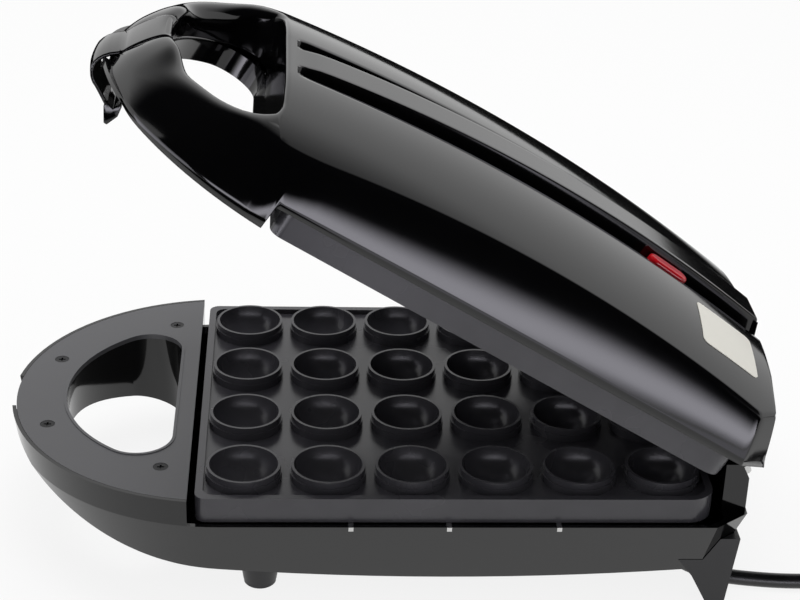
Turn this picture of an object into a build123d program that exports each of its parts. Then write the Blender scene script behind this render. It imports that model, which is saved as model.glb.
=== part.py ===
import os
from math import asin, cos, pi, radians, sin, sqrt, tan

from build123d import *

# Electric nut cookie maker, lid standing open.
# Millimetres, +Z up, +X to the hinge end, -X to the handle end.
# The origin is on the surface it stands on, under the middle of its length and width without the cord.
# The sizes below are laid out from a line middle_x away from there, and each piece moves over as it is saved.

# Overall sizes
middle_x = -4.28
half_width = 98.5
handle_tip_x = -181.5
rear_x = 158.0
rear_bulge = 3.0
rear_cut_x = 16.0
rear_cut_y = 12.0
wall = 2.4
open_angle = 30.6

# Lenses, lamps and blank label
lens_length = 22.0
lens_width = 8.6
lens_x = 92.0
lens_proud = 1.2
lens_flange = 1.8
lamp_r = 2.8
lamp_length = 14.0
label_x = 121.5
label_y = -52.0
label_length = 33.0
label_height = 32.0
label_t = 0.3

# Cooking plates
plate_x = 25.0
rim_z = 62.0
cup_columns = 6
cup_rows = 4
cup_pitch_x = 38.0
cup_pitch_y = 47.66
cup_rim_r = 16.75
cup_step_r = 17.3
cup_bowl_r = 15.1
cup_wall = 2.4
dome_r = 11.8
dome_wall = 2.6
plate_half_y = 95.0
lower_plate_half_x = 116.2
upper_plate_half_x = 117.0
plate_lip = 3.4
plate_floor_drop = 6.5
plate_lip_drop = 4.0
plate_band = 12.0
plate_skin = 4.0
plate_skirt = 4.0
plate_front_r = 5.0
plate_rear_r = 12.0
plate_gap = 0.6
cover_gap = 0.3

# Housings
deck_z = 59.3
body_lip_z = 45.5
upper_lip_z = 70.8
deck_taper = 8.0
side_taper = 21.0
deck_back_x = -94.4
upper_deck_back_x = -96.6
bottom_z = 10.0
bottom_arch_r = 1000.0
nose_arch_r = 174.6
nose_start_x = -91.0
crown_arch_r = 900.0
crease_z = 101.5
crease_half_y = 86.0
wing_r = 216.0
wing_crest_half_y = 23.0
strip_half_y = 12.0
strip_top_z = 115.2
strip_top_x = 35.0
strip_arch_r = 780.0
groove_depth = 4.5
groove_front_x = -106.0
groove_end_r = 4.5
scoop_z = 70.0
scoop_top_z = 118.0
scoop_lean = 17.0
crown_nose_r = 62.0
crown_nose_x = -133.0

# Finger holes and handle covers
hole_x = -85.5
hole_r = 70.5
hole_back_x = -103.4
hole_corner_r = 16.0
cover_t = 2.0
cover_inset = 2.0
collar_height = 9.0
fit_gap = 0.2
handle_screws = [(-107.3, 70.0), (-107.3, -70.0), (-162.0, 32.0), (-162.0, -32.0)]
screw_head_r = 3.3
screw_head_t = 2.6
screw_r = 1.6
boss_r = 4.6

# Hinge
hinge_x = 158.5
hinge_z = 61.5
hinge_pin_r = 2.0
hinge_gap = 0.05
knuckle_r = 5.0
knuckle_gap = 0.4
lug_inner_y = 38.0
lug_width = 12.0
knuckle_width = 12.0
tower_front_x = 146.5
tower_outer_y = 84.0
tower_top_z = 69.6
lug_t = 5.0

# Latch
latch_half_y = 14.0
latch_gap = 0.6
latch_t = 2.2
latch_proud = 0.6
latch_hull_gap = 0.7
latch_pin_r = 1.5
latch_knuckle_r = 3.2
latch_pivot_x = -159.5
latch_end_x = -163.5
latch_turn_x = -176.4
latch_outer_x = -182.2
hook_height = 4.4
tab_length = 4.5

# Feet and legs
front_foot_x = -62.5
front_foot_y = 73.0
foot_top_r = 9.35
foot_base_r = 7.4
pad_t = 2.2
leg_y = 85.0
leg_t = 10.0

# Heater
element_r = 3.25
element_run_y = 47.66
element_front_x = -51.0
element_rear_x = 128.0
element_bend_r = 16.0

# Power cord
cord_r = 3.5
cord_exit_angle = -37.0
cord_exit = (119.8, -52.1)
cord_exit_z = 5.2
boot_length = 24.0
boot_root_r = 4.7
outlet_depth = 16.0
outlet_width = 16.0
coil_x = 252.0
coil_start_y = -79.0
coil_pitch = 7.8
coil_outer_r = 42.0
coil_rise = 7.6
coil_z = 4.7
tie_t = 1.0
tie_w = 6.0
tie_gap = 0.4
coil_tail = 21.0
plug_sleeve = 16.0
plug_neck = 14.0
plug_length = 38.0
plug_width = 34.0
plug_pin_r = 2.4
plug_pin_length = 19.0
plug_pin_pitch = 19.0

os.makedirs("parts", exist_ok=True)

floor_z = rim_z - plate_floor_drop
lower_lip_z = rim_z - plate_lip_drop
lower_plate_z = lower_lip_z - plate_band
upper_lip_bottom_z = lower_lip_z + plate_gap
upper_floor_z = rim_z + cover_gap
upper_deck_z = deck_z + plate_gap
upper_plate_top_z = upper_lip_bottom_z + plate_band
bottom_arch_z = bottom_z + bottom_arch_r
crown_arch_z = crease_z - crown_arch_r
hinge_line = Axis((hinge_x, 0, hinge_z), (0, 1, 0))
saved = []


def save(part, name):
    placed = part.moved(Location((-middle_x, 0, 0)))
    placed.label = name
    export_step(placed, "parts/" + name + ".step")
    saved.append(name)


def save_open(part, name):
    save(part.rotate(hinge_line, open_angle), name)


# Plan of the body: a round nose, straight sides and two cut rear corners.
def body_plan(z, half, tip_x, back_x, bulge, up):
    plane = Plane(origin=(0, 0, z), x_dir=(1, 0, 0), z_dir=(0, 0, 1 if up else -1))
    with BuildSketch(plane) as plan:
        with BuildLine():
            Line((tip_x + half, -half), (back_x - rear_cut_x, -half))
            Line((back_x - rear_cut_x, -half), (back_x, rear_cut_y - half))
            ThreePointArc((back_x, rear_cut_y - half), (back_x + bulge, 0), (back_x, half - rear_cut_y))
            Line((back_x, half - rear_cut_y), (back_x - rear_cut_x, half))
            Line((back_x - rear_cut_x, half), (tip_x + half, half))
            ThreePointArc((tip_x + half, half), (tip_x, 0), (tip_x + half, -half))
        make_face()
    return plan.sketch


# Plan of the finger hole, grown outward by a margin.
def finger_plan(z, margin, lean=0.0):
    with BuildSketch(Plane.XY.offset(z)) as plan:
        with Locations((hole_x, 0)):
            Circle(hole_r + margin)
        with Locations((hole_back_x + margin - lean, 0)):
            Rectangle(200, 300, align=(Align.MIN, Align.CENTER), mode=Mode.SUBTRACT)
        fillet(plan.vertices(), hole_corner_r + margin)
    return plan.sketch


def slab(x0, x1, y0, y1, z0, z1):
    box = Box(x1 - x0, y1 - y0, z1 - z0, mode=Mode.PRIVATE)
    return Pos((x0 + x1) / 2, (y0 + y1) / 2, (z0 + z1) / 2) * box


# Side view of the lower hull: a long shallow arch that turns up at the nose.
nose_join = asin((plate_x - nose_start_x) / bottom_arch_r)
nose_centre_x = plate_x - (bottom_arch_r - nose_arch_r) * sin(nose_join)
nose_centre_z = bottom_arch_z - (bottom_arch_r - nose_arch_r) * cos(nose_join)


def bottom_point(inset, angle):
    r = bottom_arch_r - inset
    return (plate_x - r * sin(angle), bottom_arch_z - r * cos(angle))


def nose_point(inset, angle):
    r = nose_arch_r - inset
    return (nose_centre_x - r * sin(angle), nose_centre_z - r * cos(angle))


# Lower hull envelope: two tapered walls cut by the arched bottom.
def hull(inset):
    deck_half = half_width + tan(radians(deck_taper)) * (deck_z - body_lip_z)
    tip = handle_tip_x + inset
    lip_tip = handle_tip_x + deck_half - half_width + inset
    last = asin(min(0.99, (nose_centre_x - handle_tip_x - inset) / (nose_arch_r - inset)))
    rear = asin((rear_x + rear_bulge + 4 - plate_x) / (bottom_arch_r - inset))
    back = rear_x - inset
    with BuildPart() as deck:
        extrude(
            body_plan(deck_z, deck_half - inset, tip, back, rear_bulge, False),
            deck_z - body_lip_z,
            taper=deck_taper,
        )
        split(bisect_by=Plane(origin=(deck_back_x, 0, 0), z_dir=(1, 0, 0)), keep=Keep.BOTTOM)
    with BuildPart() as body:
        extrude(
            body_plan(body_lip_z, half_width - inset, lip_tip, back, rear_bulge, False),
            body_lip_z - bottom_z + 24,
            taper=side_taper,
        )
        add(deck.part)
        with BuildSketch(Plane.XZ.offset(-150)):
            with BuildLine():
                ThreePointArc(
                    bottom_point(inset, -rear),
                    bottom_point(inset, 0),
                    bottom_point(inset, nose_join),
                )
                ThreePointArc(
                    nose_point(inset, nose_join),
                    nose_point(inset, (nose_join + last) / 2),
                    nose_point(inset, last),
                )
                top = deck_z + 10
                end = nose_point(inset, last)
                start = bottom_point(inset, -rear)
                Polyline(end, (end[0], top), (start[0], top), start)
            make_face()
        extrude(amount=300, mode=Mode.INTERSECT)
    return body


# Lid envelope with the lid closed: tapered skirts under an arched crown with two grooves.
crown_sag = wing_r - sqrt(wing_r**2 - (crease_half_y - wing_crest_half_y) ** 2)
crest_r = crown_arch_r + crown_sag
crown_line = Axis((plate_x, 0, crown_arch_z), (0, 1, 0))
crown_start = radians(-15.5)
crown_plane = Plane(
    origin=(plate_x, 0, crown_arch_z), x_dir=(0, 1, 0), z_dir=(cos(crown_start), 0, -sin(crown_start))
)


def wing_drop(y):
    return wing_r - sqrt(wing_r**2 - (y - wing_crest_half_y) ** 2)


# Cross-section of the crown at its rear tilt: two falling wings and a level middle.
def crown_plan(inset):
    crest = crest_r - inset
    outer = 106.0
    mid = (outer + wing_crest_half_y) / 2
    with BuildSketch(crown_plane) as plan:
        with BuildLine():
            for way in (1, -1):
                ThreePointArc(
                    (way * outer, crest - wing_drop(outer)),
                    (way * mid, crest - wing_drop(mid)),
                    (way * wing_crest_half_y, crest),
                )
            Line((wing_crest_half_y, crest), (-wing_crest_half_y, crest))
            Polyline(
                (outer, crest - wing_drop(outer)),
                (outer, crown_arch_r - 60),
                (-outer, crown_arch_r - 60),
                (-outer, crest - wing_drop(outer)),
            )
        make_face()
    return plan.sketch


# Everything above the level of the groove floors.
def above_floor(half_y, level):
    with BuildSketch(crown_plane) as ring:
        with Locations((0, level)):
            Rectangle(2 * half_y, 40, align=(Align.CENTER, Align.MIN))
    with BuildPart() as above:
        revolve(ring.sketch, crown_line, revolution_arc=27)
    return above.part


# The centre strip between the grooves, with its own arch.
def strip(inset):
    with BuildPart() as bar:
        with BuildSketch(Plane.XZ.offset(-strip_half_y + inset)):
            with Locations((strip_top_x, strip_top_z - strip_arch_r)):
                Circle(strip_arch_r - inset)
        extrude(amount=2 * (strip_half_y - inset))
        add(slab(groove_front_x - 10 + 2 * inset, rear_x + 10, -50, 50, 95, 130), mode=Mode.INTERSECT)
    return bar.part


def lid(inset):
    deck_half = half_width + tan(radians(deck_taper)) * (upper_lip_z - upper_deck_z)
    tip = handle_tip_x + inset
    lip_tip = handle_tip_x + deck_half - half_width + inset
    turn = asin((plate_x - crown_nose_x) / crest_r)
    nose_x = plate_x - (crest_r - crown_nose_r) * sin(turn)
    nose_z = crown_arch_z + (crest_r - crown_nose_r) * cos(turn)
    back = rear_x - inset
    with BuildPart() as deck:
        extrude(
            body_plan(upper_deck_z, deck_half - inset, tip, back, rear_bulge, True),
            upper_lip_z - upper_deck_z,
            taper=deck_taper,
        )
        split(bisect_by=Plane(origin=(upper_deck_back_x, 0, 0), z_dir=(1, 0, 0)), keep=Keep.BOTTOM)
    with BuildPart() as body:
        extrude(
            body_plan(upper_lip_z, half_width - inset, lip_tip, back, rear_bulge, True),
            62,
            taper=side_taper,
        )
        add(deck.part)
    skirts = body.part
    with BuildPart() as body:
        add(skirts)
        revolve(crown_plan(inset), crown_line, revolution_arc=27, mode=Mode.INTERSECT)
        with BuildSketch(Plane.XZ.offset(-150)):
            with BuildLine():
                r = crown_nose_r - inset
                last = asin(min(0.995, (nose_x - handle_tip_x - inset) / r))
                p0 = (nose_x - r * sin(turn), nose_z + r * cos(turn))
                p1 = (nose_x - r * sin((turn + last) / 2), nose_z + r * cos((turn + last) / 2))
                p2 = (nose_x - r * sin(last), nose_z + r * cos(last))
                ThreePointArc(p0, p1, p2)
                Polyline(p2, (p2[0], 40), (rear_x + 20, 40), (rear_x + 20, 150), (p0[0], 150), p0)
            make_face()
        extrude(amount=300, mode=Mode.INTERSECT)
    if inset < 0:
        return body
    level = crest_r - groove_depth - inset
    if inset > 0:
        with BuildPart() as cut:
            add(above_floor(wing_crest_half_y + inset, level))
            add(slab(groove_front_x - inset, rear_x + 30, -60, 60, 60, 140), mode=Mode.INTERSECT)
    else:
        with BuildPart() as cut:
            with BuildSketch(Plane.XY.offset(80)) as slots:
                for way in (1, -1):
                    low, high = sorted((way * strip_half_y, way * wing_crest_half_y))
                    with Locations((groove_front_x, low)):
                        Rectangle(300, high - low, align=(Align.MIN, Align.MIN))
                fillet(slots.vertices().group_by(Axis.X)[0], groove_end_r)
            extrude(amount=60)
            add(above_floor(wing_crest_half_y + 1, level), mode=Mode.INTERSECT)
    with BuildPart() as bar:
        add(strip(inset))
        add(skirts, mode=Mode.INTERSECT)
    with BuildPart() as whole:
        add(body.part)
        add(cut.part, mode=Mode.SUBTRACT)
        add(bar.part)
    return whole


hull_outer = hull(0).part
hull_inner = hull(wall).part
hull_clear = hull(-fit_gap).part
lid_outer = lid(0).part
lid_inner = lid(wall).part
lid_proud = lid(-label_t).part

# Places shared by pieces that meet
post_r = 5.0
post_places = [(plate_x - cup_pitch_x, 0.0), (plate_x + 2 * cup_pitch_x, 0.0)]
plate_under_z = floor_z - plate_skin
shield_t = 0.8
shield_z = 39.6
upper_back_z = upper_floor_z + plate_skin
upper_shield_z = 76.0
lower_element_z = plate_under_z - cover_gap - element_r
upper_element_z = upper_back_z + cover_gap + element_r
catch_x0 = latch_end_x + 0.7
catch_x1 = catch_x0 + 3.9
terminal_x = 112.0
terminal_y = 34.0
terminal_z = 18.0
side = cos(radians(cord_exit_angle)), sin(radians(cord_exit_angle))


def along_cord(distance):
    return (cord_exit[0] + side[0] * distance, cord_exit[1] + side[1] * distance)


def post(x, y, r, z0, z1):
    return Pos(x, y, (z0 + z1) / 2) * Cylinder(r, z1 - z0, mode=Mode.PRIVATE)


def cord_block(length, width, z0, z1, start):
    centre = along_cord(start - length / 2)
    box = Box(length, width, z1 - z0, mode=Mode.PRIVATE)
    return Pos(centre[0], centre[1], (z0 + z1) / 2) * Rot(0, 0, cord_exit_angle) * box


def cord_rod(r, start, length):
    plane = Plane(origin=(*along_cord(start), cord_exit_z), z_dir=(side[0], side[1], 0))
    with BuildPart() as rod:
        with BuildSketch(plane):
            Circle(r)
        extrude(amount=length)
    return rod.part


# Lower housing: a shell with a tubular wall round the finger hole, screw bosses,
# plate posts, two hinge towers and the cord outlet under its floor.
with BuildPart() as lower_hollow:
    add(hull_inner)
    extrude(finger_plan(0, wall), deck_z - cover_t, mode=Mode.SUBTRACT)
    add(slab(deck_back_x - wall, deck_back_x, -120, 120, 0, deck_z - cover_t), mode=Mode.SUBTRACT)
    for place in handle_screws:
        add(post(*place, boss_r, 0, deck_z - cover_t), mode=Mode.SUBTRACT)
    for place in post_places:
        add(post(*place, post_r, 0, shield_z), mode=Mode.SUBTRACT)
    latch_y = latch_half_y + 3
    add(
        slab(handle_tip_x - 5, handle_tip_x + 7.5, -latch_y, latch_y, 0, deck_z - cover_t),
        mode=Mode.SUBTRACT,
    )
    add(
        slab(catch_x0 - 1.0 - wall, catch_x1 + 8, -latch_y, latch_y, 0, 49),
        mode=Mode.SUBTRACT,
    )
    for y in (1, -1):
        low, high = sorted((y * lug_inner_y, y * (tower_outer_y + 14)))
        add(slab(tower_front_x, rear_x + 8, low, high, 0, 60), mode=Mode.SUBTRACT)
    add(
        slab(terminal_x - 13, terminal_x + 13, terminal_y - 11, terminal_y + 11, 0, terminal_z),
        mode=Mode.SUBTRACT,
    )
    extrude(
        body_plan(
            deck_z - cover_t,
            half_width + fit_gap,
            handle_tip_x + cover_inset - fit_gap,
            rear_x,
            rear_bulge,
            True,
        ),
        20,
    )
    add(slab(deck_back_x + 0.01, rear_x + 20, -130, 130, body_lip_z + 0.01, 120), mode=Mode.SUBTRACT)

with BuildPart() as lower_housing:
    add(hull_outer)
    add(cord_block(outlet_depth, outlet_width, 1.0, bottom_z + 4, -boot_length))
    add(lower_hollow.part, mode=Mode.SUBTRACT)
    extrude(finger_plan(0, 0), 80, mode=Mode.SUBTRACT)
    for y in (1, -1):
        inner_y = lug_inner_y + lug_width + knuckle_gap
        low, high = sorted((y * inner_y, y * tower_outer_y))
        with BuildSketch(Plane.XZ.offset(-high)):
            with BuildLine():
                Polyline(
                    (tower_front_x, body_lip_z - 1),
                    (tower_front_x, tower_top_z),
                    (rear_x - 4, tower_top_z),
                    (rear_x - 0.5, tower_top_z - 7),
                    (rear_x - 0.5, body_lip_z - 1),
                    close=True,
                )
            make_face()
        extrude(amount=high - low)
        low, high = sorted((y * inner_y, y * (inner_y + knuckle_width)))
        with BuildSketch(Plane.XZ.offset(-high)):
            with Locations((hinge_x, hinge_z)):
                Circle(knuckle_r)
            with BuildLine():
                Polyline(
                    (hinge_x - 4, hinge_z + knuckle_r - 1),
                    (hinge_x + knuckle_r, hinge_z),
                    (rear_x - 2, body_lip_z),
                    (hinge_x - 4, body_lip_z),
                    close=True,
                )
            make_face()
        extrude(amount=high - low)
    bore_length = 2 * (tower_outer_y - 8)
    with Locations(Pos(hinge_x, 0, hinge_z) * Rot(90, 0, 0)):
        Cylinder(hinge_pin_r + hinge_gap, bore_length, mode=Mode.SUBTRACT)
    for place in handle_screws:
        add(post(*place, screw_r + 0.05, deck_z - 20, deck_z), mode=Mode.SUBTRACT)
    for place in post_places:
        add(post(*place, screw_r + 0.25, 0, shield_z), mode=Mode.SUBTRACT)
        add(post(*place, screw_head_r + 0.4, 0, bottom_z + 10), mode=Mode.SUBTRACT)
    notch_y = latch_half_y + latch_gap
    notch_x = latch_outer_x + latch_t + 3.4
    add(slab(handle_tip_x - 5, notch_x, -notch_y, notch_y, 40, 70), mode=Mode.SUBTRACT)
    add(slab(catch_x0 - 1.0, catch_x1, -notch_y, notch_y, 20, 46), mode=Mode.SUBTRACT)
    add(cord_rod(3.05, -boot_length - 12, 16), mode=Mode.SUBTRACT)
    bend = along_cord(-boot_length - 11)
    add(post(*bend, 3.4, 2.2, 30), mode=Mode.SUBTRACT)
save(lower_housing.part, "lower_housing")

# Lower handle cover: a flat D panel with the finger hole, its raised rim and four sunk screw seats.
with BuildPart() as lower_handle_cover:
    extrude(
        body_plan(
            deck_z - cover_t, half_width, handle_tip_x + cover_inset, rear_x, rear_bulge, True
        ),
        cover_t,
    )
    split(bisect_by=Plane(origin=(deck_back_x, 0, 0), z_dir=(1, 0, 0)), keep=Keep.BOTTOM)
    extrude(finger_plan(deck_z, 1.4), 0.4)
    extrude(finger_plan(0, 0), 80, mode=Mode.SUBTRACT)
    for place in handle_screws:
        add(post(*place, screw_r + 0.3, 40, 80), mode=Mode.SUBTRACT)
        add(post(*place, screw_head_r + 0.15, deck_z - 1.2, 80), mode=Mode.SUBTRACT)
save(lower_handle_cover.part, "lower_handle_cover")


# Plan of a cooking plate with small front and large rear corners.
def plate_plan(z, half_x, margin):
    with BuildSketch(Plane.XY.offset(z)) as plan:
        with Locations((plate_x, 0)):
            Rectangle(2 * (half_x - margin), 2 * (plate_half_y - margin))
        fillet(plan.vertices().sort_by(Axis.X)[:2], plate_front_r)
        fillet(plan.vertices().sort_by(Axis.X)[-2:], max(plate_rear_r - margin, 4))
    return plan.sketch


# One cup: a stepped ring on the plate floor and a round bowl that bulges below it.
bowl_r = cup_bowl_r + 0.4
bowl_z = rim_z + 0.6
bulge_r = bowl_r + cup_wall
rim_meet = sqrt(bowl_r**2 - (bowl_z - rim_z) ** 2)
with BuildPart() as cup_body:
    with BuildSketch(Plane.XZ):
        with BuildLine():
            Polyline(
                (0, bowl_z - bulge_r),
                (0, rim_z),
                (cup_rim_r, rim_z),
                (cup_rim_r, rim_z - 3),
                (cup_step_r, rim_z - 3),
                (cup_step_r, plate_under_z + 0.5),
                (sqrt(bulge_r**2 - (bowl_z - plate_under_z - 0.5) ** 2), plate_under_z + 0.5),
            )
            mid = radians(20)
            ThreePointArc(
                (sqrt(bulge_r**2 - (bowl_z - plate_under_z - 0.5) ** 2), plate_under_z + 0.5),
                (bulge_r * sin(mid), bowl_z - bulge_r * cos(mid)),
                (0, bowl_z - bulge_r),
            )
        make_face()
    revolve(axis=Axis.Z)
with BuildPart() as cup_void:
    with BuildSketch(Plane.XZ):
        with BuildLine():
            Polyline((0, bowl_z - bowl_r), (0, rim_z + 2), (rim_meet + 0.3, rim_z + 2), (rim_meet, rim_z))
            ThreePointArc(
                (rim_meet, rim_z), (bowl_r * sin(0.7), bowl_z - bowl_r * cos(0.7)), (0, bowl_z - bowl_r)
            )
        make_face()
    revolve(axis=Axis.Z)

# Lower cooking plate: a cast tray with a lip, 24 cups and two screw bosses.
with BuildPart() as lower_plate:
    extrude(plate_plan(lower_plate_z, lower_plate_half_x, 0), plate_band)
    extrude(plate_plan(floor_z, lower_plate_half_x, plate_lip), 10, mode=Mode.SUBTRACT)
    extrude(
        plate_plan(lower_plate_z, lower_plate_half_x, plate_skirt),
        plate_under_z - lower_plate_z,
        mode=Mode.SUBTRACT,
    )
    with Locations(Pos(plate_x, 0, 0)):
        with GridLocations(cup_pitch_x, cup_pitch_y, cup_columns, cup_rows):
            add(cup_body.part)
    for place in post_places:
        add(post(*place, post_r - 0.5, shield_z + shield_t + cover_gap, plate_under_z + 1))
        add(post(*place, screw_r + 0.05, shield_z, plate_under_z + 1), mode=Mode.SUBTRACT)
    with Locations(Pos(plate_x, 0, 0)):
        with GridLocations(cup_pitch_x, cup_pitch_y, cup_columns, cup_rows):
            add(cup_void.part, mode=Mode.SUBTRACT)
save(lower_plate.part, "lower_plate")

# Upper cooking plate, lid closed: the same tray upside down with 24 hollow domes.
with BuildPart() as dome_body:
    with Locations((0, 0, upper_floor_z)):
        Sphere(dome_r)
    split(bisect_by=Plane.XY.offset(upper_floor_z + 1), keep=Keep.BOTTOM)
with BuildPart() as upper_plate:
    extrude(plate_plan(upper_lip_bottom_z, upper_plate_half_x, 0), plate_band)
    extrude(
        plate_plan(upper_lip_bottom_z, upper_plate_half_x, plate_lip),
        upper_floor_z - upper_lip_bottom_z,
        mode=Mode.SUBTRACT,
    )
    extrude(plate_plan(upper_back_z, upper_plate_half_x, plate_skirt), 20, mode=Mode.SUBTRACT)
    with Locations(Pos(plate_x, 0, 0)):
        with GridLocations(cup_pitch_x, cup_pitch_y, cup_columns, cup_rows):
            add(dome_body.part)
    with Locations(Pos(plate_x, 0, upper_floor_z)):
        with GridLocations(cup_pitch_x, cup_pitch_y, cup_columns, cup_rows):
            Sphere(dome_r - dome_wall, mode=Mode.SUBTRACT)
            Cylinder(
                dome_r - dome_wall,
                plate_skin + 1,
                align=(Align.CENTER, Align.CENTER, Align.MIN),
                mode=Mode.SUBTRACT,
            )
    for place in post_places:
        add(post(*place, screw_r + 0.05, 40, 90), mode=Mode.SUBTRACT)
        add(post(*place, screw_head_r + 0.15, 40, upper_floor_z + screw_head_t), mode=Mode.SUBTRACT)
save_open(upper_plate.part, "upper_plate")


# Tubular heater bent in a U between the cup rows, with a pin at each end.
def element(z):
    with BuildPart() as tube:
        with BuildLine():
            FilletPolyline(
                (element_rear_x, -element_run_y, z),
                (element_front_x, -element_run_y, z),
                (element_front_x, element_run_y, z),
                (element_rear_x, element_run_y, z),
                radius=element_bend_r,
            )
        with BuildSketch(Plane(origin=(element_rear_x, -element_run_y, z), z_dir=(-1, 0, 0))):
            Circle(element_r)
        sweep()
        for y in (-element_run_y, element_run_y):
            with Locations(Pos(element_rear_x + 3, y, z) * Rot(0, 90, 0)):
                Cylinder(1.3, 7)
    return tube.part


save(element(lower_element_z), "lower_heating_element")
save_open(element(upper_element_z), "upper_heating_element")

# Lower heat shield: a bright pressed pan with six side tabs that hook over the housing lip.
tab_places = [plate_x - 47.1, plate_x - 3.4, plate_x + 45.8]
tab_t = 0.4
tab_z = body_lip_z
with BuildPart() as lower_heat_shield:
    with BuildSketch(Plane.XY.offset(shield_z)):
        with Locations((plate_x, 0)):
            RectangleRounded(2 * (lower_plate_half_x - 3), 2 * (plate_half_y - 5), 9)
    extrude(amount=tab_z + tab_t - shield_z)
    with BuildSketch(Plane.XY.offset(shield_z + shield_t)):
        with Locations((plate_x, 0)):
            RectangleRounded(
                2 * (lower_plate_half_x - 3 - shield_t), 2 * (plate_half_y - 5 - shield_t), 9 - shield_t
            )
    extrude(amount=20, mode=Mode.SUBTRACT)
    for x in tab_places:
        for y in (1, -1):
            low, high = sorted((y * (plate_half_y - 5.5), y * (half_width + 0.75)))
            add(slab(x - 1.1, x + 1.1, low, high, tab_z, tab_z + tab_t))
            low, high = sorted((y * (half_width + 0.25), y * (half_width + 0.75)))
            add(slab(x - 1.1, x + 1.1, low, high, tab_z - 1.6, tab_z + tab_t))
    for place in post_places:
        add(post(*place, screw_r + 0.6, 0, 60), mode=Mode.SUBTRACT)
save(lower_heat_shield.part, "lower_heat_shield")

# Upper heat shield, lid closed: a pan turned down over the back of the upper plate.
with BuildPart() as upper_heat_shield:
    with BuildSketch(Plane.XY.offset(upper_plate_top_z + cover_gap)):
        with Locations((plate_x, 0)):
            RectangleRounded(2 * (upper_plate_half_x - 3.5), 2 * (plate_half_y - 8), 9)
    extrude(amount=upper_shield_z + shield_t - upper_plate_top_z - cover_gap)
    with BuildSketch(Plane.XY.offset(upper_plate_top_z)):
        with Locations((plate_x, 0)):
            RectangleRounded(
                2 * (upper_plate_half_x - 3.5 - shield_t), 2 * (plate_half_y - 8 - shield_t), 9 - shield_t
            )
    extrude(amount=upper_shield_z - upper_plate_top_z, mode=Mode.SUBTRACT)
    for place in post_places:
        add(post(*place, post_r + 0.4, 60, 90), mode=Mode.SUBTRACT)
save_open(upper_heat_shield.part, "upper_heat_shield")

# Bimetal thermostat and thermal fuse under the lower plate.
with BuildPart() as thermostat:
    with Locations((plate_x + cup_pitch_x, 0, plate_under_z - cover_gap)):
        Cylinder(8, 2, align=(Align.CENTER, Align.CENTER, Align.MAX))
    with Locations((plate_x + cup_pitch_x, 0, plate_under_z - cover_gap - 2)):
        Cylinder(6.5, 5, align=(Align.CENTER, Align.CENTER, Align.MAX))
    with Locations((plate_x + cup_pitch_x, 0, plate_under_z - cover_gap - 5)):
        Box(22, 4, 0.8)
save(thermostat.part, "thermostat")

with BuildPart() as thermal_fuse:
    with Locations(Pos(plate_x, 0, plate_under_z - cover_gap - 2.2) * Rot(0, 90, 0)):
        Cylinder(2.2, 12)
        Cylinder(0.5, 22)
save(thermal_fuse.part, "thermal_fuse")

# Terminal block on its pad.
with BuildPart() as terminal_block:
    with Locations((terminal_x, terminal_y, terminal_z)):
        Box(22, 16, 9, align=(Align.CENTER, Align.CENTER, Align.MIN))
    chamfer(terminal_block.edges().filter_by(Axis.Z), 1)
    with Locations((terminal_x, terminal_y, terminal_z + 9)):
        with GridLocations(9, 8, 2, 2):
            Hole(1.8, depth=5)
save(terminal_block.part, "terminal_block")


# A round-head screw with a cross recess, head up.
def screw(x, y, head_z, length):
    with BuildPart() as one:
        with Locations((x, y, head_z)):
            Cylinder(screw_head_r, 1.1, align=(Align.CENTER, Align.CENTER, Align.MIN))
            Cylinder(screw_r, length, align=(Align.CENTER, Align.CENTER, Align.MAX))
        with Locations((x, y, head_z + 1.1)):
            Box(3.4, 0.9, 1.4, mode=Mode.SUBTRACT)
            Box(0.9, 3.4, 1.4, mode=Mode.SUBTRACT)
    return one.part


save(
    Compound(children=[screw(x, y, deck_z - 1.2, 14) for x, y in handle_screws]),
    "lower_handle_screws",
)


# A long pan-head screw, head down, in each plate post.
def post_screw(x, y, head_z, top_z):
    with BuildPart() as one:
        with Locations((x, y, head_z)):
            Cylinder(screw_head_r, 2, align=(Align.CENTER, Align.CENTER, Align.MAX))
            Cylinder(screw_r, top_z - head_z, align=(Align.CENTER, Align.CENTER, Align.MIN))
        with Locations((x, y, head_z - 2)):
            Box(3.4, 0.9, 1.4, mode=Mode.SUBTRACT)
            Box(0.9, 3.4, 1.4, mode=Mode.SUBTRACT)
    return one.part


save(
    Compound(children=[post_screw(x, y, bottom_z + 10, plate_under_z - 1) for x, y in post_places]),
    "lower_plate_screws",
)

# Front feet: round tapered stubs shaped to the hull above, each on a dark pad.
feet = []
pads = []
for y in (front_foot_y, -front_foot_y):
    with BuildPart() as foot:
        with Locations((front_foot_x, y, pad_t)):
            Cone(foot_base_r + 0.3, foot_top_r + 2, 24, align=(Align.CENTER, Align.CENTER, Align.MIN))
        add(hull_clear, mode=Mode.SUBTRACT)
        split(bisect_by=Plane.XY.offset(deck_z - 20), keep=Keep.BOTTOM)
    feet.append(foot.part.solids().sort_by(Axis.Z)[0])
    with BuildPart() as pad:
        with Locations((front_foot_x, y, 0)):
            Cylinder(foot_base_r, pad_t, align=(Align.CENTER, Align.CENTER, Align.MIN))
        chamfer(pad.edges().group_by(Axis.Z)[0], 0.5)
    pads.append(pad.part)
save(Compound(children=feet), "front_feet")
save(Compound(children=pads), "foot_pads")

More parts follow.
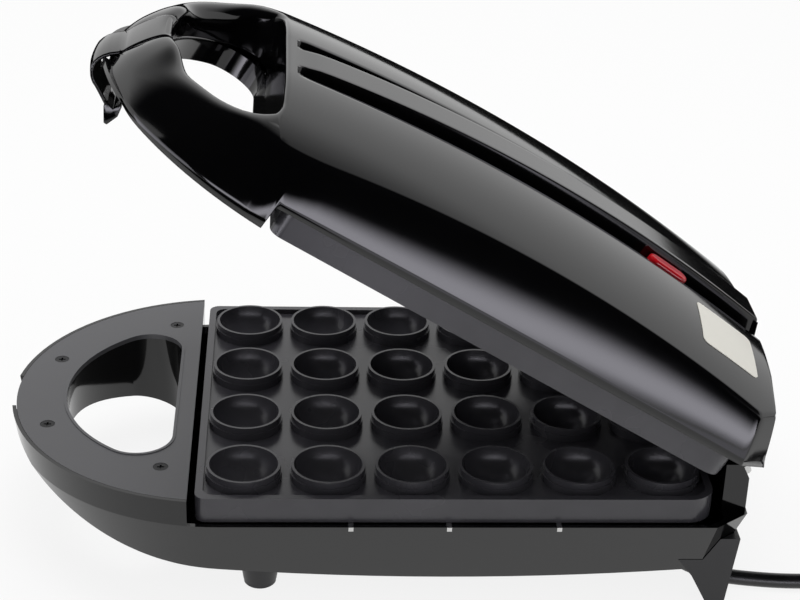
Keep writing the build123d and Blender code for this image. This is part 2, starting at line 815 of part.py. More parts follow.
# Rear legs: flat tapered legs under the two rear corners.
legs = []
for y in (leg_y, -leg_y):
    with BuildPart() as leg:
        with BuildSketch(Plane.XZ.offset(-y - leg_t / 2)):
            with BuildLine():
                Polyline(
                    (rear_x - 15.5, 0),
                    (rear_x - 6.5, 0),
                    (rear_x - 2.5, 34),
                    (rear_x - 34, 34),
                    (rear_x - 31, 24),
                    (rear_x - 23, 14),
                    close=True,
                )
            make_face()
        extrude(amount=leg_t)
        add(hull_clear, mode=Mode.SUBTRACT)
    legs.append(leg.part.solids().sort_by(Axis.Z)[0])
save(Compound(children=legs), "rear_legs")

# Hinge pins, one at each side, carried by the base knuckles.
pin_start = lug_inner_y + 0.5
pin_end = tower_outer_y - 9
pins = []
for y in (1, -1):
    with BuildPart() as pin:
        with Locations(Pos(hinge_x, y * (pin_start + pin_end) / 2, hinge_z) * Rot(90, 0, 0)):
            Cylinder(hinge_pin_r, pin_end - pin_start)
    pins.append(pin.part)
save(Compound(children=pins), "hinge_pins")

# The lid's finger hole, which leans back above the collar.
def scoop(margin):
    with BuildPart() as cut:
        extrude(finger_plan(upper_deck_z - 5, margin), scoop_z - upper_deck_z + 5)
        loft([finger_plan(scoop_z, margin), finger_plan(scoop_top_z, margin, scoop_lean)], ruled=True)
    return cut.part


# Upper housing, lid closed: a shell with the leaning hole wall, screw bosses, plate posts,
# two hinge lugs, the latch slot and the lens slots.
with BuildPart() as upper_hollow:
    add(lid_inner)
    add(scoop(cover_t + fit_gap + wall), mode=Mode.SUBTRACT)
    add(
        slab(upper_deck_back_x - wall, upper_deck_back_x, -120, 120, upper_deck_z + cover_t, 140),
        mode=Mode.SUBTRACT,
    )
    for place in handle_screws:
        add(post(*place, boss_r, upper_deck_z + cover_t, 140), mode=Mode.SUBTRACT)
    for place in post_places:
        add(post(*place, post_r, upper_back_z + cover_gap, 140), mode=Mode.SUBTRACT)
    add(
        slab(handle_tip_x - 5, hole_x - hole_r, -latch_half_y - 3, latch_half_y + 3, upper_deck_z, 120),
        mode=Mode.SUBTRACT,
    )
    extrude(
        body_plan(
            upper_deck_z - 10,
            half_width + fit_gap,
            handle_tip_x + cover_inset - fit_gap,
            rear_x,
            rear_bulge,
            True,
        ),
        10 + cover_t,
    )
    add(
        slab(upper_deck_back_x + 0.01, rear_x + 20, -130, 130, 0, upper_lip_z - 0.01),
        mode=Mode.SUBTRACT,
    )

nose_turn = asin((plate_x - crown_nose_x) / crest_r)
latch_cx = plate_x - (crest_r - crown_nose_r) * sin(nose_turn)
latch_cz = crown_arch_z + (crest_r - crown_nose_r) * cos(nose_turn)


def skin_point(r, x):
    return (x, latch_cz + sqrt(r**2 - (x - latch_cx) ** 2))


skin_r = crown_nose_r + latch_proud
knuckle_point = skin_point(skin_r - latch_knuckle_r, latch_pivot_x)
latch_pivot_z = knuckle_point[1]
lens_radial = asin((lens_x - plate_x) / crest_r)
groove_mid = (strip_half_y + wing_crest_half_y) / 2


def lens_plane(y, r):
    return Plane(
        origin=(plate_x + r * sin(lens_radial), y, crown_arch_z + r * cos(lens_radial)),
        x_dir=(cos(lens_radial), 0, -sin(lens_radial)),
        z_dir=(sin(lens_radial), 0, cos(lens_radial)),
    )


def slot_prism(plane, length, width, depth):
    with BuildPart() as prism:
        with BuildSketch(plane):
            SlotOverall(length, width)
        extrude(amount=depth)
    return prism.part


slot_y = latch_half_y + latch_gap
with BuildPart() as upper_housing:
    add(lid_outer)
    add(upper_hollow.part, mode=Mode.SUBTRACT)
    add(scoop(0), mode=Mode.SUBTRACT)
    collar_top_z = upper_deck_z + cover_t + collar_height
    extrude(finger_plan(0, cover_t + fit_gap), collar_top_z + fit_gap, mode=Mode.SUBTRACT)
    hole_wall_x = hole_x - hole_r - wall
    add(slab(handle_tip_x - 9, hole_wall_x, -slot_y, slot_y, 0, 130), mode=Mode.SUBTRACT)
    knuckle_low = latch_pivot_z - latch_knuckle_r - latch_gap
    add(slab(hole_wall_x - 1, hole_wall_x + 9, -slot_y, slot_y, knuckle_low, 130), mode=Mode.SUBTRACT)
    with Locations(Pos(latch_pivot_x, 0, latch_pivot_z) * Rot(90, 0, 0)):
        Cylinder(latch_pin_r + 0.02, 2 * (slot_y + wall - 0.4), mode=Mode.SUBTRACT)
    for y in (groove_mid, -groove_mid):
        cut = slot_prism(lens_plane(y, crest_r - 12), lens_length + 0.3, lens_width + 0.3, 20)
        add(cut, mode=Mode.SUBTRACT)
    for place in handle_screws:
        add(post(*place, screw_r + 0.05, upper_deck_z, upper_deck_z + 16), mode=Mode.SUBTRACT)
    for place in post_places:
        add(post(*place, screw_r + 0.05, 50, upper_back_z + 14), mode=Mode.SUBTRACT)
    for y in (1, -1):
        low, high = sorted((y * lug_inner_y, y * (lug_inner_y + lug_width)))
        with BuildSketch(Plane.XZ.offset(-high)):
            with Locations((hinge_x, hinge_z)):
                Circle(knuckle_r)
            with BuildLine():
                Polyline(
                    (hinge_x - lug_t + 0.4, hinge_z),
                    (hinge_x - lug_t + 0.4, upper_lip_z + 6),
                    (hinge_x - wall + 1, upper_lip_z + 6),
                    (hinge_x + knuckle_r - 1, hinge_z + 3),
                    close=True,
                )
            make_face()
        extrude(amount=high - low)
    with Locations(Pos(hinge_x, 0, hinge_z) * Rot(90, 0, 0)):
        Cylinder(hinge_pin_r + hinge_gap, 2 * (lug_inner_y + lug_width + 2), mode=Mode.SUBTRACT)
save_open(upper_housing.part, "upper_housing")

# Upper handle cover, lid closed: the D panel with a collar that lines the finger hole.
with BuildPart() as upper_handle_cover:
    extrude(
        body_plan(upper_deck_z, half_width, handle_tip_x + cover_inset, rear_x, rear_bulge, True), cover_t
    )
    split(bisect_by=Plane(origin=(upper_deck_back_x, 0, 0), z_dir=(1, 0, 0)), keep=Keep.BOTTOM)
    extrude(finger_plan(upper_deck_z, cover_t), cover_t + collar_height)
    extrude(finger_plan(0, 0), 100, mode=Mode.SUBTRACT)
    add(slab(handle_tip_x - 5, handle_tip_x + 6, -slot_y, slot_y, 0, 130), mode=Mode.SUBTRACT)
    for place in handle_screws:
        add(post(*place, screw_r + 0.3, 40, 80), mode=Mode.SUBTRACT)
        add(post(*place, screw_head_r + 0.15, 40, upper_deck_z + 1.2), mode=Mode.SUBTRACT)
save_open(upper_handle_cover.part, "upper_handle_cover")


# The same screw, head down.
def screw_up(x, y, head_z, length):
    return screw(0, 0, 0, length).rotate(Axis.X, 180).moved(Location((x, y, head_z)))


save_open(
    Compound(children=[screw_up(x, y, upper_deck_z + 1.2, 14) for x, y in handle_screws]),
    "upper_handle_screws",
)
save_open(
    Compound(
        children=[screw_up(x, y, upper_floor_z + screw_head_t - 0.8, 12) for x, y in post_places]
    ),
    "upper_plate_screws",
)


# Oval lenses in the two crown grooves, each with a flange inside the shell and a lamp behind it.
def lens(y):
    outer_r = crest_r + lens_proud
    inner_r = crest_r - groove_depth - wall
    with BuildPart() as one:
        add(slot_prism(lens_plane(y, inner_r - 0.5), lens_length, lens_width, outer_r - inner_r + 0.5))
        fillet(one.faces().sort_by(Axis.Z)[-1].edges(), 1.6)
        flange_plane = lens_plane(y, inner_r - lens_flange - fit_gap)
        add(slot_prism(flange_plane, lens_length + 4, lens_width + 2, lens_flange))
    return one.part


save_open(lens(-groove_mid), "power_lens")
save_open(lens(groove_mid), "ready_lens")
lamps = []
for y in (-groove_mid, groove_mid):
    lamp_r_in = crest_r - groove_depth - wall - fit_gap - lens_flange - cover_gap - lamp_r
    with BuildPart() as lamp:
        with Locations(lens_plane(y, lamp_r_in).location * Rot(0, 90, 0)):
            Cylinder(lamp_r, lamp_length)
    lamps.append(lamp.part)
save_open(Compound(children=lamps), "indicator_lamps")

# A blank label that follows the crown.
with BuildPart() as blank_label:
    with BuildSketch(Plane.XY.offset(80)):
        with Locations((label_x, label_y)):
            RectangleRounded(label_length, label_height, 3)
    extrude(amount=60)
    add(lid_proud, mode=Mode.INTERSECT)
    add(lid_outer, mode=Mode.SUBTRACT)
label = blank_label.part.solids().sort_by(SortBy.VOLUME)[-1]
save_open(label, "blank_label")

# Latch: a clip hinged at the inner edge of the handle, wrapped round the nose and hooked below it.
strip_out = latch_hull_gap + latch_t


def strip_angle(x, extra):
    return asin((nose_centre_x - x) / (nose_arch_r + extra))


a_end = strip_angle(latch_end_x, strip_out)
a_bend = strip_angle(latch_turn_x, strip_out)
with BuildPart() as latch:
    with BuildSketch(Plane.XZ.offset(-latch_half_y)):
        with BuildLine() as skin:
            top0 = skin_point(skin_r, latch_pivot_x)
            top2 = skin_point(skin_r, latch_turn_x)
            top1 = skin_point(skin_r, (latch_pivot_x + latch_turn_x) / 2 - 1)
            low0 = (latch_outer_x, deck_z - 4)
            low1 = nose_point(-strip_out, a_bend)
            low2 = nose_point(-strip_out, a_end)
            ThreePointArc(top0, top1, top2)
            ThreePointArc(top2, (latch_outer_x + 0.9, (top2[1] + low0[1]) / 2 + 0.6), low0)
            ThreePointArc(low0, (latch_outer_x + 1.6, (low0[1] + low1[1]) / 2 - 0.4), low1)
            ThreePointArc(low1, nose_point(-strip_out, (a_bend + a_end) / 2), low2)
            offset(amount=latch_t, side=Side.LEFT, closed=True)
        make_face()
    extrude(amount=2 * latch_half_y)
    with Locations(Pos(latch_pivot_x, 0, latch_pivot_z) * Rot(90, 0, 0)):
        Cylinder(latch_knuckle_r, 2 * latch_half_y)
    with BuildSketch(Plane.XZ.offset(-latch_half_y)):
        with BuildLine():
            inner = nose_point(-latch_hull_gap, a_end)
            Polyline(
                low2,
                (inner[0] - 1.5, inner[1] + 0.9),
                (catch_x0 + 0.8, inner[1] + hook_height),
                (catch_x0 + 2.2, inner[1] + hook_height),
                (catch_x0 + 2.8, inner[1] - 0.6),
                (low2[0] + 1.2, low2[1] - tab_length),
                (low2[0] - 0.4, low2[1] - tab_length),
                close=True,
            )
        make_face()
    extrude(amount=2 * latch_half_y)
    with Locations(Pos(latch_pivot_x, 0, latch_pivot_z) * Rot(90, 0, 0)):
        Cylinder(latch_pin_r + hinge_gap, 60, mode=Mode.SUBTRACT)
save_open(latch.part, "latch")

with BuildPart() as latch_pin:
    with Locations(Pos(latch_pivot_x, 0, latch_pivot_z) * Rot(90, 0, 0)):
        Cylinder(latch_pin_r, 2 * (slot_y + wall - 0.6))
save_open(latch_pin.part, "latch_pin")

# Strain relief: a root in the outlet block, a flange and a tapered ribbed boot.
with BuildPart() as strain_relief:
    root = Plane(origin=(*along_cord(-boot_length), cord_exit_z), z_dir=(side[0], side[1], 0))
    with BuildSketch(root.offset(-7)):
        Circle(3.0)
    extrude(amount=8)
    with BuildSketch(root):
        Circle(boot_root_r)
    with BuildSketch(root.offset(boot_length)):
        Circle(cord_r + 0.4)
    loft()
save(strain_relief.part, "strain_relief")

# Power cord: out of the boot, down to the surface, behind the near leg and on to the coil.
coil_lead = 2 * cord_r
route = [
    (*cord_exit, cord_exit_z),
    (*along_cord(15), cord_exit_z),
    (*along_cord(33), cord_r),
    (160.5, -76.4, cord_r),
    (187.0, -79.8, cord_r),
    (216.0, coil_start_y, coil_z),
    (coil_x - coil_lead, coil_start_y, coil_z),
]


# The cord's tube: straight runs joined by tangent arcs as large as the runs allow.
def tube_radii(points):
    radii = []
    for before, here, after in zip(points, points[1:], points[2:]):
        come = Vector(here) - Vector(before)
        leave = Vector(after) - Vector(here)
        turn = radians(come.get_angle(leave))
        radii.append(0.45 * min(come.length, leave.length) / tan(turn / 2))
    return radii


def cord_tube(wire):
    with BuildPart() as tube:
        with BuildSketch(Plane(origin=wire @ 0, z_dir=wire % 0)):
            Circle(cord_r)
        sweep(path=wire)
    share = tube.part.volume / (pi * cord_r**2 * wire.length)
    print("tube length", round(wire.length, 1), "volume share", round(share, 4))
    return tube.part


route_radii = tube_radii(route)
print("cord radii", [round(r, 1) for r in route_radii])
with BuildLine() as route_line:
    FilletPolyline(*route, radius=route_radii)
save(cord_tube(route_line.wires()[0]), "power_cord")

# Put-away coil: one tube of half turns that spirals in, climbs a layer and spirals out again.
half_step = coil_pitch / 2
low = coil_z
high = coil_z + coil_rise
inner_r = coil_outer_r - 3 * half_step


def coil_half(y, r, z, left):
    away = -r if left else r
    step = -r if left else r
    return ThreePointArc((coil_x, y, z), (coil_x + away, y + step, z), (coil_x, y + 2 * step, z))


with BuildLine() as coil_line:
    Line((coil_x - coil_lead, coil_start_y, low), (coil_x, coil_start_y, low))
    y = coil_start_y
    for turn in range(3):
        r = coil_outer_r - turn * half_step
        coil_half(y, r, low, turn == 1)
        y += -2 * r if turn == 1 else 2 * r
    waist = sqrt(inner_r**2 + (coil_rise / 2) ** 2)
    middle = (coil_x - waist, y - inner_r, (low + high) / 2)
    rise = TangentArc((coil_x, y, low), middle, tangent=(-1, 0, 0))
    TangentArc(middle, (coil_x, y - 2 * inner_r, high), tangent=rise % 1)
    y -= 2 * inner_r
    for turn in range(2):
        r = inner_r + (turn + 1) * half_step
        coil_half(y, r, high, turn == 1)
        y += -2 * r if turn == 1 else 2 * r
    r = inner_r + 3 * half_step
    lean = sqrt(0.5)
    ThreePointArc(
        (coil_x, y, high), (coil_x + r * lean, y + r - r * lean, high), (coil_x + r, y + r, high)
    )
    tail_x = coil_x + r
    tail_y = y + r
    Line((tail_x, tail_y, high), (tail_x, tail_y + coil_tail, high))
coil_wire = coil_line.wires()[0]
samples = [coil_wire @ (k / 700) for k in range(701)]
step = coil_wire.length / 700
apart = int(6 * cord_r / step) + 1
least = min(
    (samples[a] - samples[b]).length for a in range(701) for b in range(a + apart, 701)
)
print("coil gap to itself", round(least - 2 * cord_r, 2))
save(cord_tube(coil_wire), "cord_coil")
print("cord in all", round(route_line.wires()[0].length + coil_wire.length, 1))

# Tie round the bundle where all the turns pass square to it.
top_y = coil_start_y + 2 * coil_outer_r
bundle = 2 * half_step
with BuildPart() as cord_tie:
    add(
        slab(
            coil_x - tie_w / 2,
            coil_x + tie_w / 2,
            top_y - bundle - cord_r - tie_gap - tie_t,
            top_y + cord_r + tie_gap + tie_t,
            low - cord_r - fit_gap - tie_t,
            high + cord_r + tie_gap + tie_t,
        )
    )
    add(
        slab(
            coil_x - tie_w,
            coil_x + tie_w,
            top_y - bundle - cord_r - tie_gap,
            top_y + cord_r + tie_gap,
            low - cord_r - fit_gap,
            high + cord_r + tie_gap,
        ),
        mode=Mode.SUBTRACT,
    )
    fillet(cord_tie.edges().filter_by(Axis.X), 0.4)
save(cord_tie.part, "cord_tie")

# Plug: sleeve, rounded body lying on the surface and two round pins.
plug_y = tail_y + coil_tail
with BuildPart() as power_plug:
    with BuildSketch(Plane(origin=(tail_x, plug_y, high), z_dir=(0, 1, 0))):
        Circle(cord_r + 1.2)
    with BuildSketch(Plane(origin=(tail_x, plug_y + plug_sleeve, high), z_dir=(0, 1, 0))):
        Circle(cord_r + 2.6)
    loft()
    with BuildSketch(
        Plane(origin=(tail_x, plug_y + plug_sleeve, high), x_dir=(1, 0, 0), z_dir=(0, 1, 0))
    ):
        RectangleRounded(plug_width - 8, 2 * high - 5, 8)
    with BuildSketch(
        Plane(origin=(tail_x, plug_y + plug_sleeve + plug_neck, high), x_dir=(1, 0, 0), z_dir=(0, 1, 0))
    ):
        RectangleRounded(plug_width, 2 * high, 9)
    loft()
    with BuildSketch(
        Plane(origin=(tail_x, plug_y + plug_sleeve + plug_neck, high), x_dir=(1, 0, 0), z_dir=(0, 1, 0))
    ):
        RectangleRounded(plug_width, 2 * high, 9)
    extrude(amount=plug_length - plug_neck)
    pin_plane = Plane(
        origin=(tail_x, plug_y + plug_sleeve + plug_length, high), x_dir=(1, 0, 0), z_dir=(0, 1, 0)
    )
    with BuildSketch(pin_plane):
        with GridLocations(plug_pin_pitch, 1, 2, 1):
            Circle(plug_pin_r)
    extrude(amount=plug_pin_length)
save(power_plug.part, "power_plug")

print(len(saved), "nodes")
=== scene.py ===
from math import atan2, cos, pi, radians, sin, sqrt, tan

import bmesh
import bpy
from mathutils import Matrix, Vector


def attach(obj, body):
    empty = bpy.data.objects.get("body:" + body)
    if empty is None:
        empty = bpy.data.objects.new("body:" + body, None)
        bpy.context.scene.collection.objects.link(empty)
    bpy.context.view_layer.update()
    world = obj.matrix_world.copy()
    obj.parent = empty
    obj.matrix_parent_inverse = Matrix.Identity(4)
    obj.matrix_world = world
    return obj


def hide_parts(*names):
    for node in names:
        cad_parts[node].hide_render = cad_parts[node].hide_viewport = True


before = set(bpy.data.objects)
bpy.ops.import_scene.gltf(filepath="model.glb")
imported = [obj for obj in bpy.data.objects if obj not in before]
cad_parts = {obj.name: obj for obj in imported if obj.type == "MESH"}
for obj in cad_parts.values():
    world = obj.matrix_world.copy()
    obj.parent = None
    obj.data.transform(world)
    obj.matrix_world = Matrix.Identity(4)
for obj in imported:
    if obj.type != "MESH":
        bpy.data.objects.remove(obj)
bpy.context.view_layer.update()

# Camera: a long lens from in front, a little left of the middle and above, that looks down
# about 26 degrees and leans two degrees, as the photograph was taken.
camera_turn = radians(-3.848)
camera_drop = radians(26.22)
camera_lean = radians(2.182)
camera_place = Vector((-0.04802, -0.8132, 0.5107))
sensor_mm = 36
view_width = 800
focal_pixels = 1915.551
forward = Vector(
    (-sin(camera_turn) * cos(camera_drop), cos(camera_turn) * cos(camera_drop), -sin(camera_drop))
)
level = Vector((cos(camera_turn), sin(camera_turn), 0))
upward = level.cross(forward)
right = level * cos(camera_lean) + upward * sin(camera_lean)
up = upward * cos(camera_lean) - level * sin(camera_lean)
camera_data = bpy.data.cameras.new("photo_camera")
camera = bpy.data.objects.new("photo_camera", camera_data)
bpy.context.scene.collection.objects.link(camera)
camera_data.sensor_width = sensor_mm
camera_data.lens = sensor_mm * focal_pixels / view_width
camera_data.clip_start = 0.05
camera_data.clip_end = 30
turn = Matrix((right, up, -forward)).transposed()
camera.matrix_world = Matrix.Translation(camera_place) @ turn.to_4x4()
bpy.context.scene.camera = camera
bpy.context.scene.view_settings.view_transform = "Standard"


# Power lead: a smooth round sheath of black PVC, out of the boot, behind the near leg and on to
# the coil it is put away in. One spline follows the whole lead, turns of the coil included.
def hex_colour(text):
    parts = [int(text[k : k + 2], 16) / 255 for k in (1, 3, 5)]
    linear = [p / 12.92 if p <= 0.04045 else ((p + 0.055) / 1.055) ** 2.4 for p in parts]
    return (*linear, 1.0)


def add_node(tree, kind, values=None, links=None, **settings):
    made = tree.nodes.new(kind)
    for name, value in settings.items():
        setattr(made, name, value)
    for name, value in (values or {}).items():
        made.inputs[name].default_value = value
    for name, socket in (links or {}).items():
        tree.links.new(socket, made.inputs[name])
    return made


def start_finish(name, colour, roughness, metallic=0.0):
    finish = bpy.data.materials.new(name)
    finish.use_nodes = True
    shader = finish.node_tree.nodes["Principled BSDF"]
    shader.inputs["Base Color"].default_value = hex_colour(colour)
    shader.inputs["Roughness"].default_value = roughness
    shader.inputs["Metallic"].default_value = metallic
    return finish, finish.node_tree, shader


# A moulded, coated or rolled skin: two close shades in soft patches, roughness that goes with them, and
# a grain. Real grains of 0.1 or 0.2 mm are drawn half a millimetre wide or more, so that they show.
# The default index of refraction of 1.5 is close to that of these plastics.
patch_low, patch_high = 0.3, 0.7


def skin_finish(name, dark, light, rough, grain_mm, grain_depth_mm, metallic=0.0, patch_mm=40):
    finish, tree, shader = start_finish(name, dark, rough[0], metallic)
    place = add_node(tree, "ShaderNodeTexCoord")
    patches = add_node(
        tree,
        "ShaderNodeTexNoise",
        {"Scale": 1000 / patch_mm, "Detail": 3, "Roughness": 0.6},
        {"Vector": place.outputs["Object"]},
    )
    ramp = add_node(tree, "ShaderNodeValToRGB", links={"Fac": patches.outputs["Fac"]})
    ramp.color_ramp.elements[0].position = patch_low
    ramp.color_ramp.elements[0].color = hex_colour(dark)
    ramp.color_ramp.elements[1].position = patch_high
    ramp.color_ramp.elements[1].color = hex_colour(light)
    tree.links.new(ramp.outputs["Color"], shader.inputs["Base Color"])
    spread = add_node(
        tree,
        "ShaderNodeMapRange",
        {"From Min": patch_low, "From Max": patch_high, "To Min": rough[0], "To Max": rough[1]},
        {"Value": patches.outputs["Fac"]},
    )
    tree.links.new(spread.outputs["Result"], shader.inputs["Roughness"])
    grain = add_node(
        tree,
        "ShaderNodeTexNoise",
        {"Scale": 1000 / grain_mm, "Detail": 2},
        {"Vector": place.outputs["Object"]},
    )
    relief = add_node(
        tree,
        "ShaderNodeBump",
        {"Strength": 1.0, "Distance": grain_depth_mm / 1000},
        {"Height": grain.outputs["Fac"]},
    )
    tree.links.new(relief.outputs["Normal"], shader.inputs["Normal"])
    return finish


# Extruded PVC: nearly black, with a soft sheen and a faint pebbling a millimetre or so wide.
pvc_sheath = skin_finish("pvc_sheath", "#0d0d0e", "#141415", (0.32, 0.4), grain_mm=1.2, grain_depth_mm=0.01)
lead_points = [
    (124.08, -52.1, 5.2),
    (136.08, -61.1, 5.2),
    (150.48, -72.0, 3.5),
    (164.78, -76.4, 3.5),
    (191.28, -79.8, 3.5),
    (220.28, -79.0, 4.7),
    (249.28, -79.0, 4.7),
]
coil_x, outer_reach, lower_layer, upper_layer = 256.28, 42.0, 4.7, 12.3
turn_points = 8
cut_in = 1 / cos(pi / turn_points / 2)
# Each half turn has its radius, the way it bends, and the heights at its start and end.
half_turns = [
    (outer_reach, 1, lower_layer, lower_layer),
    (38.1, -1, lower_layer, lower_layer),
    (34.2, 1, lower_layer, lower_layer),
    (30.3, -1, lower_layer, upper_layer),
    (34.2, 1, upper_layer, upper_layer),
    (38.1, -1, upper_layer, upper_layer),
]
start_y = -79.0
for reach, way, z_from, z_to in half_turns:
    for k in range(turn_points):
        share = (k + 0.5) / turn_points
        angle = pi * share
        middle_y = start_y + way * reach
        radius = reach * cut_in
        lead_points.append(
            (
                coil_x + way * radius * sin(angle),
                middle_y - way * radius * cos(angle),
                z_from + (z_to - z_from) * share,
            )
        )
    start_y += 2 * way * reach
for k in range(turn_points // 2):
    angle = pi * (k + 0.5) / turn_points
    lead_points.append(
        (
            coil_x + outer_reach * cut_in * sin(angle),
            start_y + outer_reach - outer_reach * cut_in * cos(angle),
            upper_layer,
        )
    )
for run_out in (8.0, 21.0):
    lead_points.append((coil_x + outer_reach, start_y + outer_reach + run_out, upper_layer))
cord_curve = bpy.data.curves.new("power_lead", "CURVE")
cord_curve.dimensions = "3D"
spline = cord_curve.splines.new("NURBS")
spline.points.add(len(lead_points) - 1)
for point, (x, y, z) in zip(spline.points, lead_points):
    point.co = (x / 1000, y / 1000, z / 1000, 1)
spline.order_u = 3
spline.use_endpoint_u = True
spline.resolution_u = 8
cord_curve.bevel_depth = 0.0035
cord_curve.bevel_resolution = 5
cord_curve.use_fill_caps = True
cord = bpy.data.objects.new("power_lead", cord_curve)
bpy.context.scene.collection.objects.link(cord)
cord_curve.materials.append(pvc_sheath)
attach(cord, "base")
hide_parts("power_cord", "cord_coil")


# Plug, boot and tie: the plug and the boot are moulded on to the sheath in the same black PVC, and the
# tie is a strap of it round the bundle.
def dress(names, finish):
    for name in names:
        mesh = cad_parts[name].data
        mesh.materials.clear()
        mesh.materials.append(finish)


# Moulded PVC: a little duller than the extruded sheath, with a finer grain.
pvc_moulding = skin_finish(
    "pvc_moulding", "#0e0e0f", "#161617", (0.4, 0.5), grain_mm=0.8, grain_depth_mm=0.02
)
dress(["power_plug", "strain_relief", "cord_tie"], pvc_moulding)


# Floor and studio: a matt white floor in a white room, with one soft box overhead. Only reflections see
# the cards: a black wall behind the camera and a black ceiling that fades out to the rear, black cards on
# the floor behind and to the left, and bright ones low in front, on the floor in front and on the left.
def seen_directly(tree):
    ray = add_node(tree, "ShaderNodeLightPath")
    direct = add_node(
        tree,
        "ShaderNodeMath",
        links={0: ray.outputs["Is Camera Ray"], 1: ray.outputs["Is Glossy Ray"]},
        operation="MAXIMUM",
    )
    return add_node(
        tree,
        "ShaderNodeMath",
        links={0: direct.outputs["Value"], 1: ray.outputs["Is Transmission Ray"]},
        operation="MAXIMUM",
    ).outputs["Value"]


floor_reach, floor_glow, room_light = 8, 0.86, 0.45
floor_mesh = bpy.data.meshes.new("studio_floor")
shape = bmesh.new()
bmesh.ops.create_grid(shape, x_segments=1, y_segments=1, size=floor_reach)
shape.to_mesh(floor_mesh)
shape.free()
floor = bpy.data.objects.new("studio_floor", floor_mesh)
bpy.context.scene.collection.objects.link(floor)
# Matt white paint: no gloss at all. Most of it is an even white to the eye, and the rest takes shadow.
floor_paint, tree, shader = start_finish("matt_white_floor", "#f2f2f2", 0.9)
shader.inputs["Specular IOR Level"].default_value = 0.0
seen = add_node(tree, "ShaderNodeMath", {1: floor_glow}, {0: seen_directly(tree)}, operation="MULTIPLY")
white = add_node(tree, "ShaderNodeEmission", {"Color": (1, 1, 1, 1), "Strength": 1.0})
mixed = add_node(
    tree,
    "ShaderNodeMixShader",
    links={0: seen.outputs["Value"], 1: shader.outputs["BSDF"], 2: white.outputs["Emission"]},
)
tree.links.new(mixed.outputs["Shader"], tree.nodes["Material Output"].inputs["Surface"])
floor_mesh.materials.append(floor_paint)

world = bpy.data.worlds.new("studio")
bpy.context.scene.world = world
world.use_nodes = True
tree = world.node_tree
room = tree.nodes["Background"]
room.inputs["Color"].default_value = (1, 1, 1, 1)
room.inputs["Strength"].default_value = room_light
backdrop = add_node(tree, "ShaderNodeBackground", {"Color": (1, 1, 1, 1), "Strength": 1.0})
choice = add_node(
    tree,
    "ShaderNodeMixShader",
    links={
        0: seen_directly(tree),
        1: room.outputs["Background"],
        2: backdrop.outputs["Background"],
    },
)
tree.links.new(choice.outputs["Shader"], tree.nodes["World Output"].inputs["Surface"])


def soft_box(name, place, target, width, height, power):
    lamp_data = bpy.data.lights.new(name, "AREA")
    lamp_data.shape = "RECTANGLE"
    lamp_data.size = width
    lamp_data.size_y = height
    lamp_data.energy = power
    lamp = bpy.data.objects.new(name, lamp_data)
    lamp.visible_glossy = False
    bpy.context.scene.collection.objects.link(lamp)
    aim = Vector(target) - Vector(place)
    lamp.matrix_world = Matrix.Translation(place) @ aim.to_track_quat("-Z", "Y").to_matrix().to_4x4()


soft_box("overhead_box", place=(0.0, 0.3, 1.8), target=(0, 0, 0.1), width=1.4, height=1.0, power=21)

# A card can fade along its height, or along Y where it lies flat. Each of its fades is a distance in
# metres from its low or near edge, and the share of the card that is seen there.
tallest_card = 5.0


def studio_card(name, place, width, height, colour, strength, fades, turn_z=0, flat=False):
    card_mesh = bpy.data.meshes.new(name)
    shape = bmesh.new()
    bmesh.ops.create_grid(shape, x_segments=1, y_segments=1, size=0.5)
    bmesh.ops.scale(shape, verts=shape.verts, vec=(width, height, 1))
    stood_up = Matrix.Translation(place) @ Matrix.Rotation(radians(turn_z), 4, "Z")
    tilt = Matrix.Rotation(0 if flat else pi / 2, 4, "X")
    bmesh.ops.transform(shape, matrix=stood_up @ tilt, verts=shape.verts)
    shape.to_mesh(card_mesh)
    shape.free()
    card = bpy.data.objects.new(name, card_mesh)
    bpy.context.scene.collection.objects.link(card)
    paint, tree, shader = start_finish(name, "#000000", 1.0)
    tree.nodes.remove(shader)
    where = add_node(tree, "ShaderNodeTexCoord")
    split = add_node(tree, "ShaderNodeSeparateXYZ", links={"Vector": where.outputs["Object"]})
    near_edge = place[1 if flat else 2] - height / 2
    reach = add_node(
        tree,
        "ShaderNodeMapRange",
        {"From Min": near_edge, "From Max": near_edge + tallest_card},
        {"Value": split.outputs["Y" if flat else "Z"]},
    )
    fade = add_node(tree, "ShaderNodeValToRGB", links={"Fac": reach.outputs["Result"]})
    fade.color_ramp.interpolation = "EASE"
    steps = fade.color_ramp.elements
    while len(steps) < len(fades):
        steps.new(0.5)
    for step, (distance, share) in zip(steps, fades):
        step.position = distance / tallest_card
        step.color = (share, share, share, 1)
    lit = add_node(tree, "ShaderNodeEmission", {"Color": hex_colour(colour), "Strength": strength})
    clear = add_node(tree, "ShaderNodeBsdfTransparent")
    mixed = add_node(
        tree,
        "ShaderNodeMixShader",
        links={0: fade.outputs["Color"], 1: clear.outputs["BSDF"], 2: lit.outputs["Emission"]},
    )
    tree.links.new(mixed.outputs["Shader"], tree.nodes["Material Output"].inputs["Surface"])
    card_mesh.materials.append(paint)
    card.visible_camera = False
    card.visible_diffuse = False
    card.visible_shadow = False
    card.visible_transmission = False


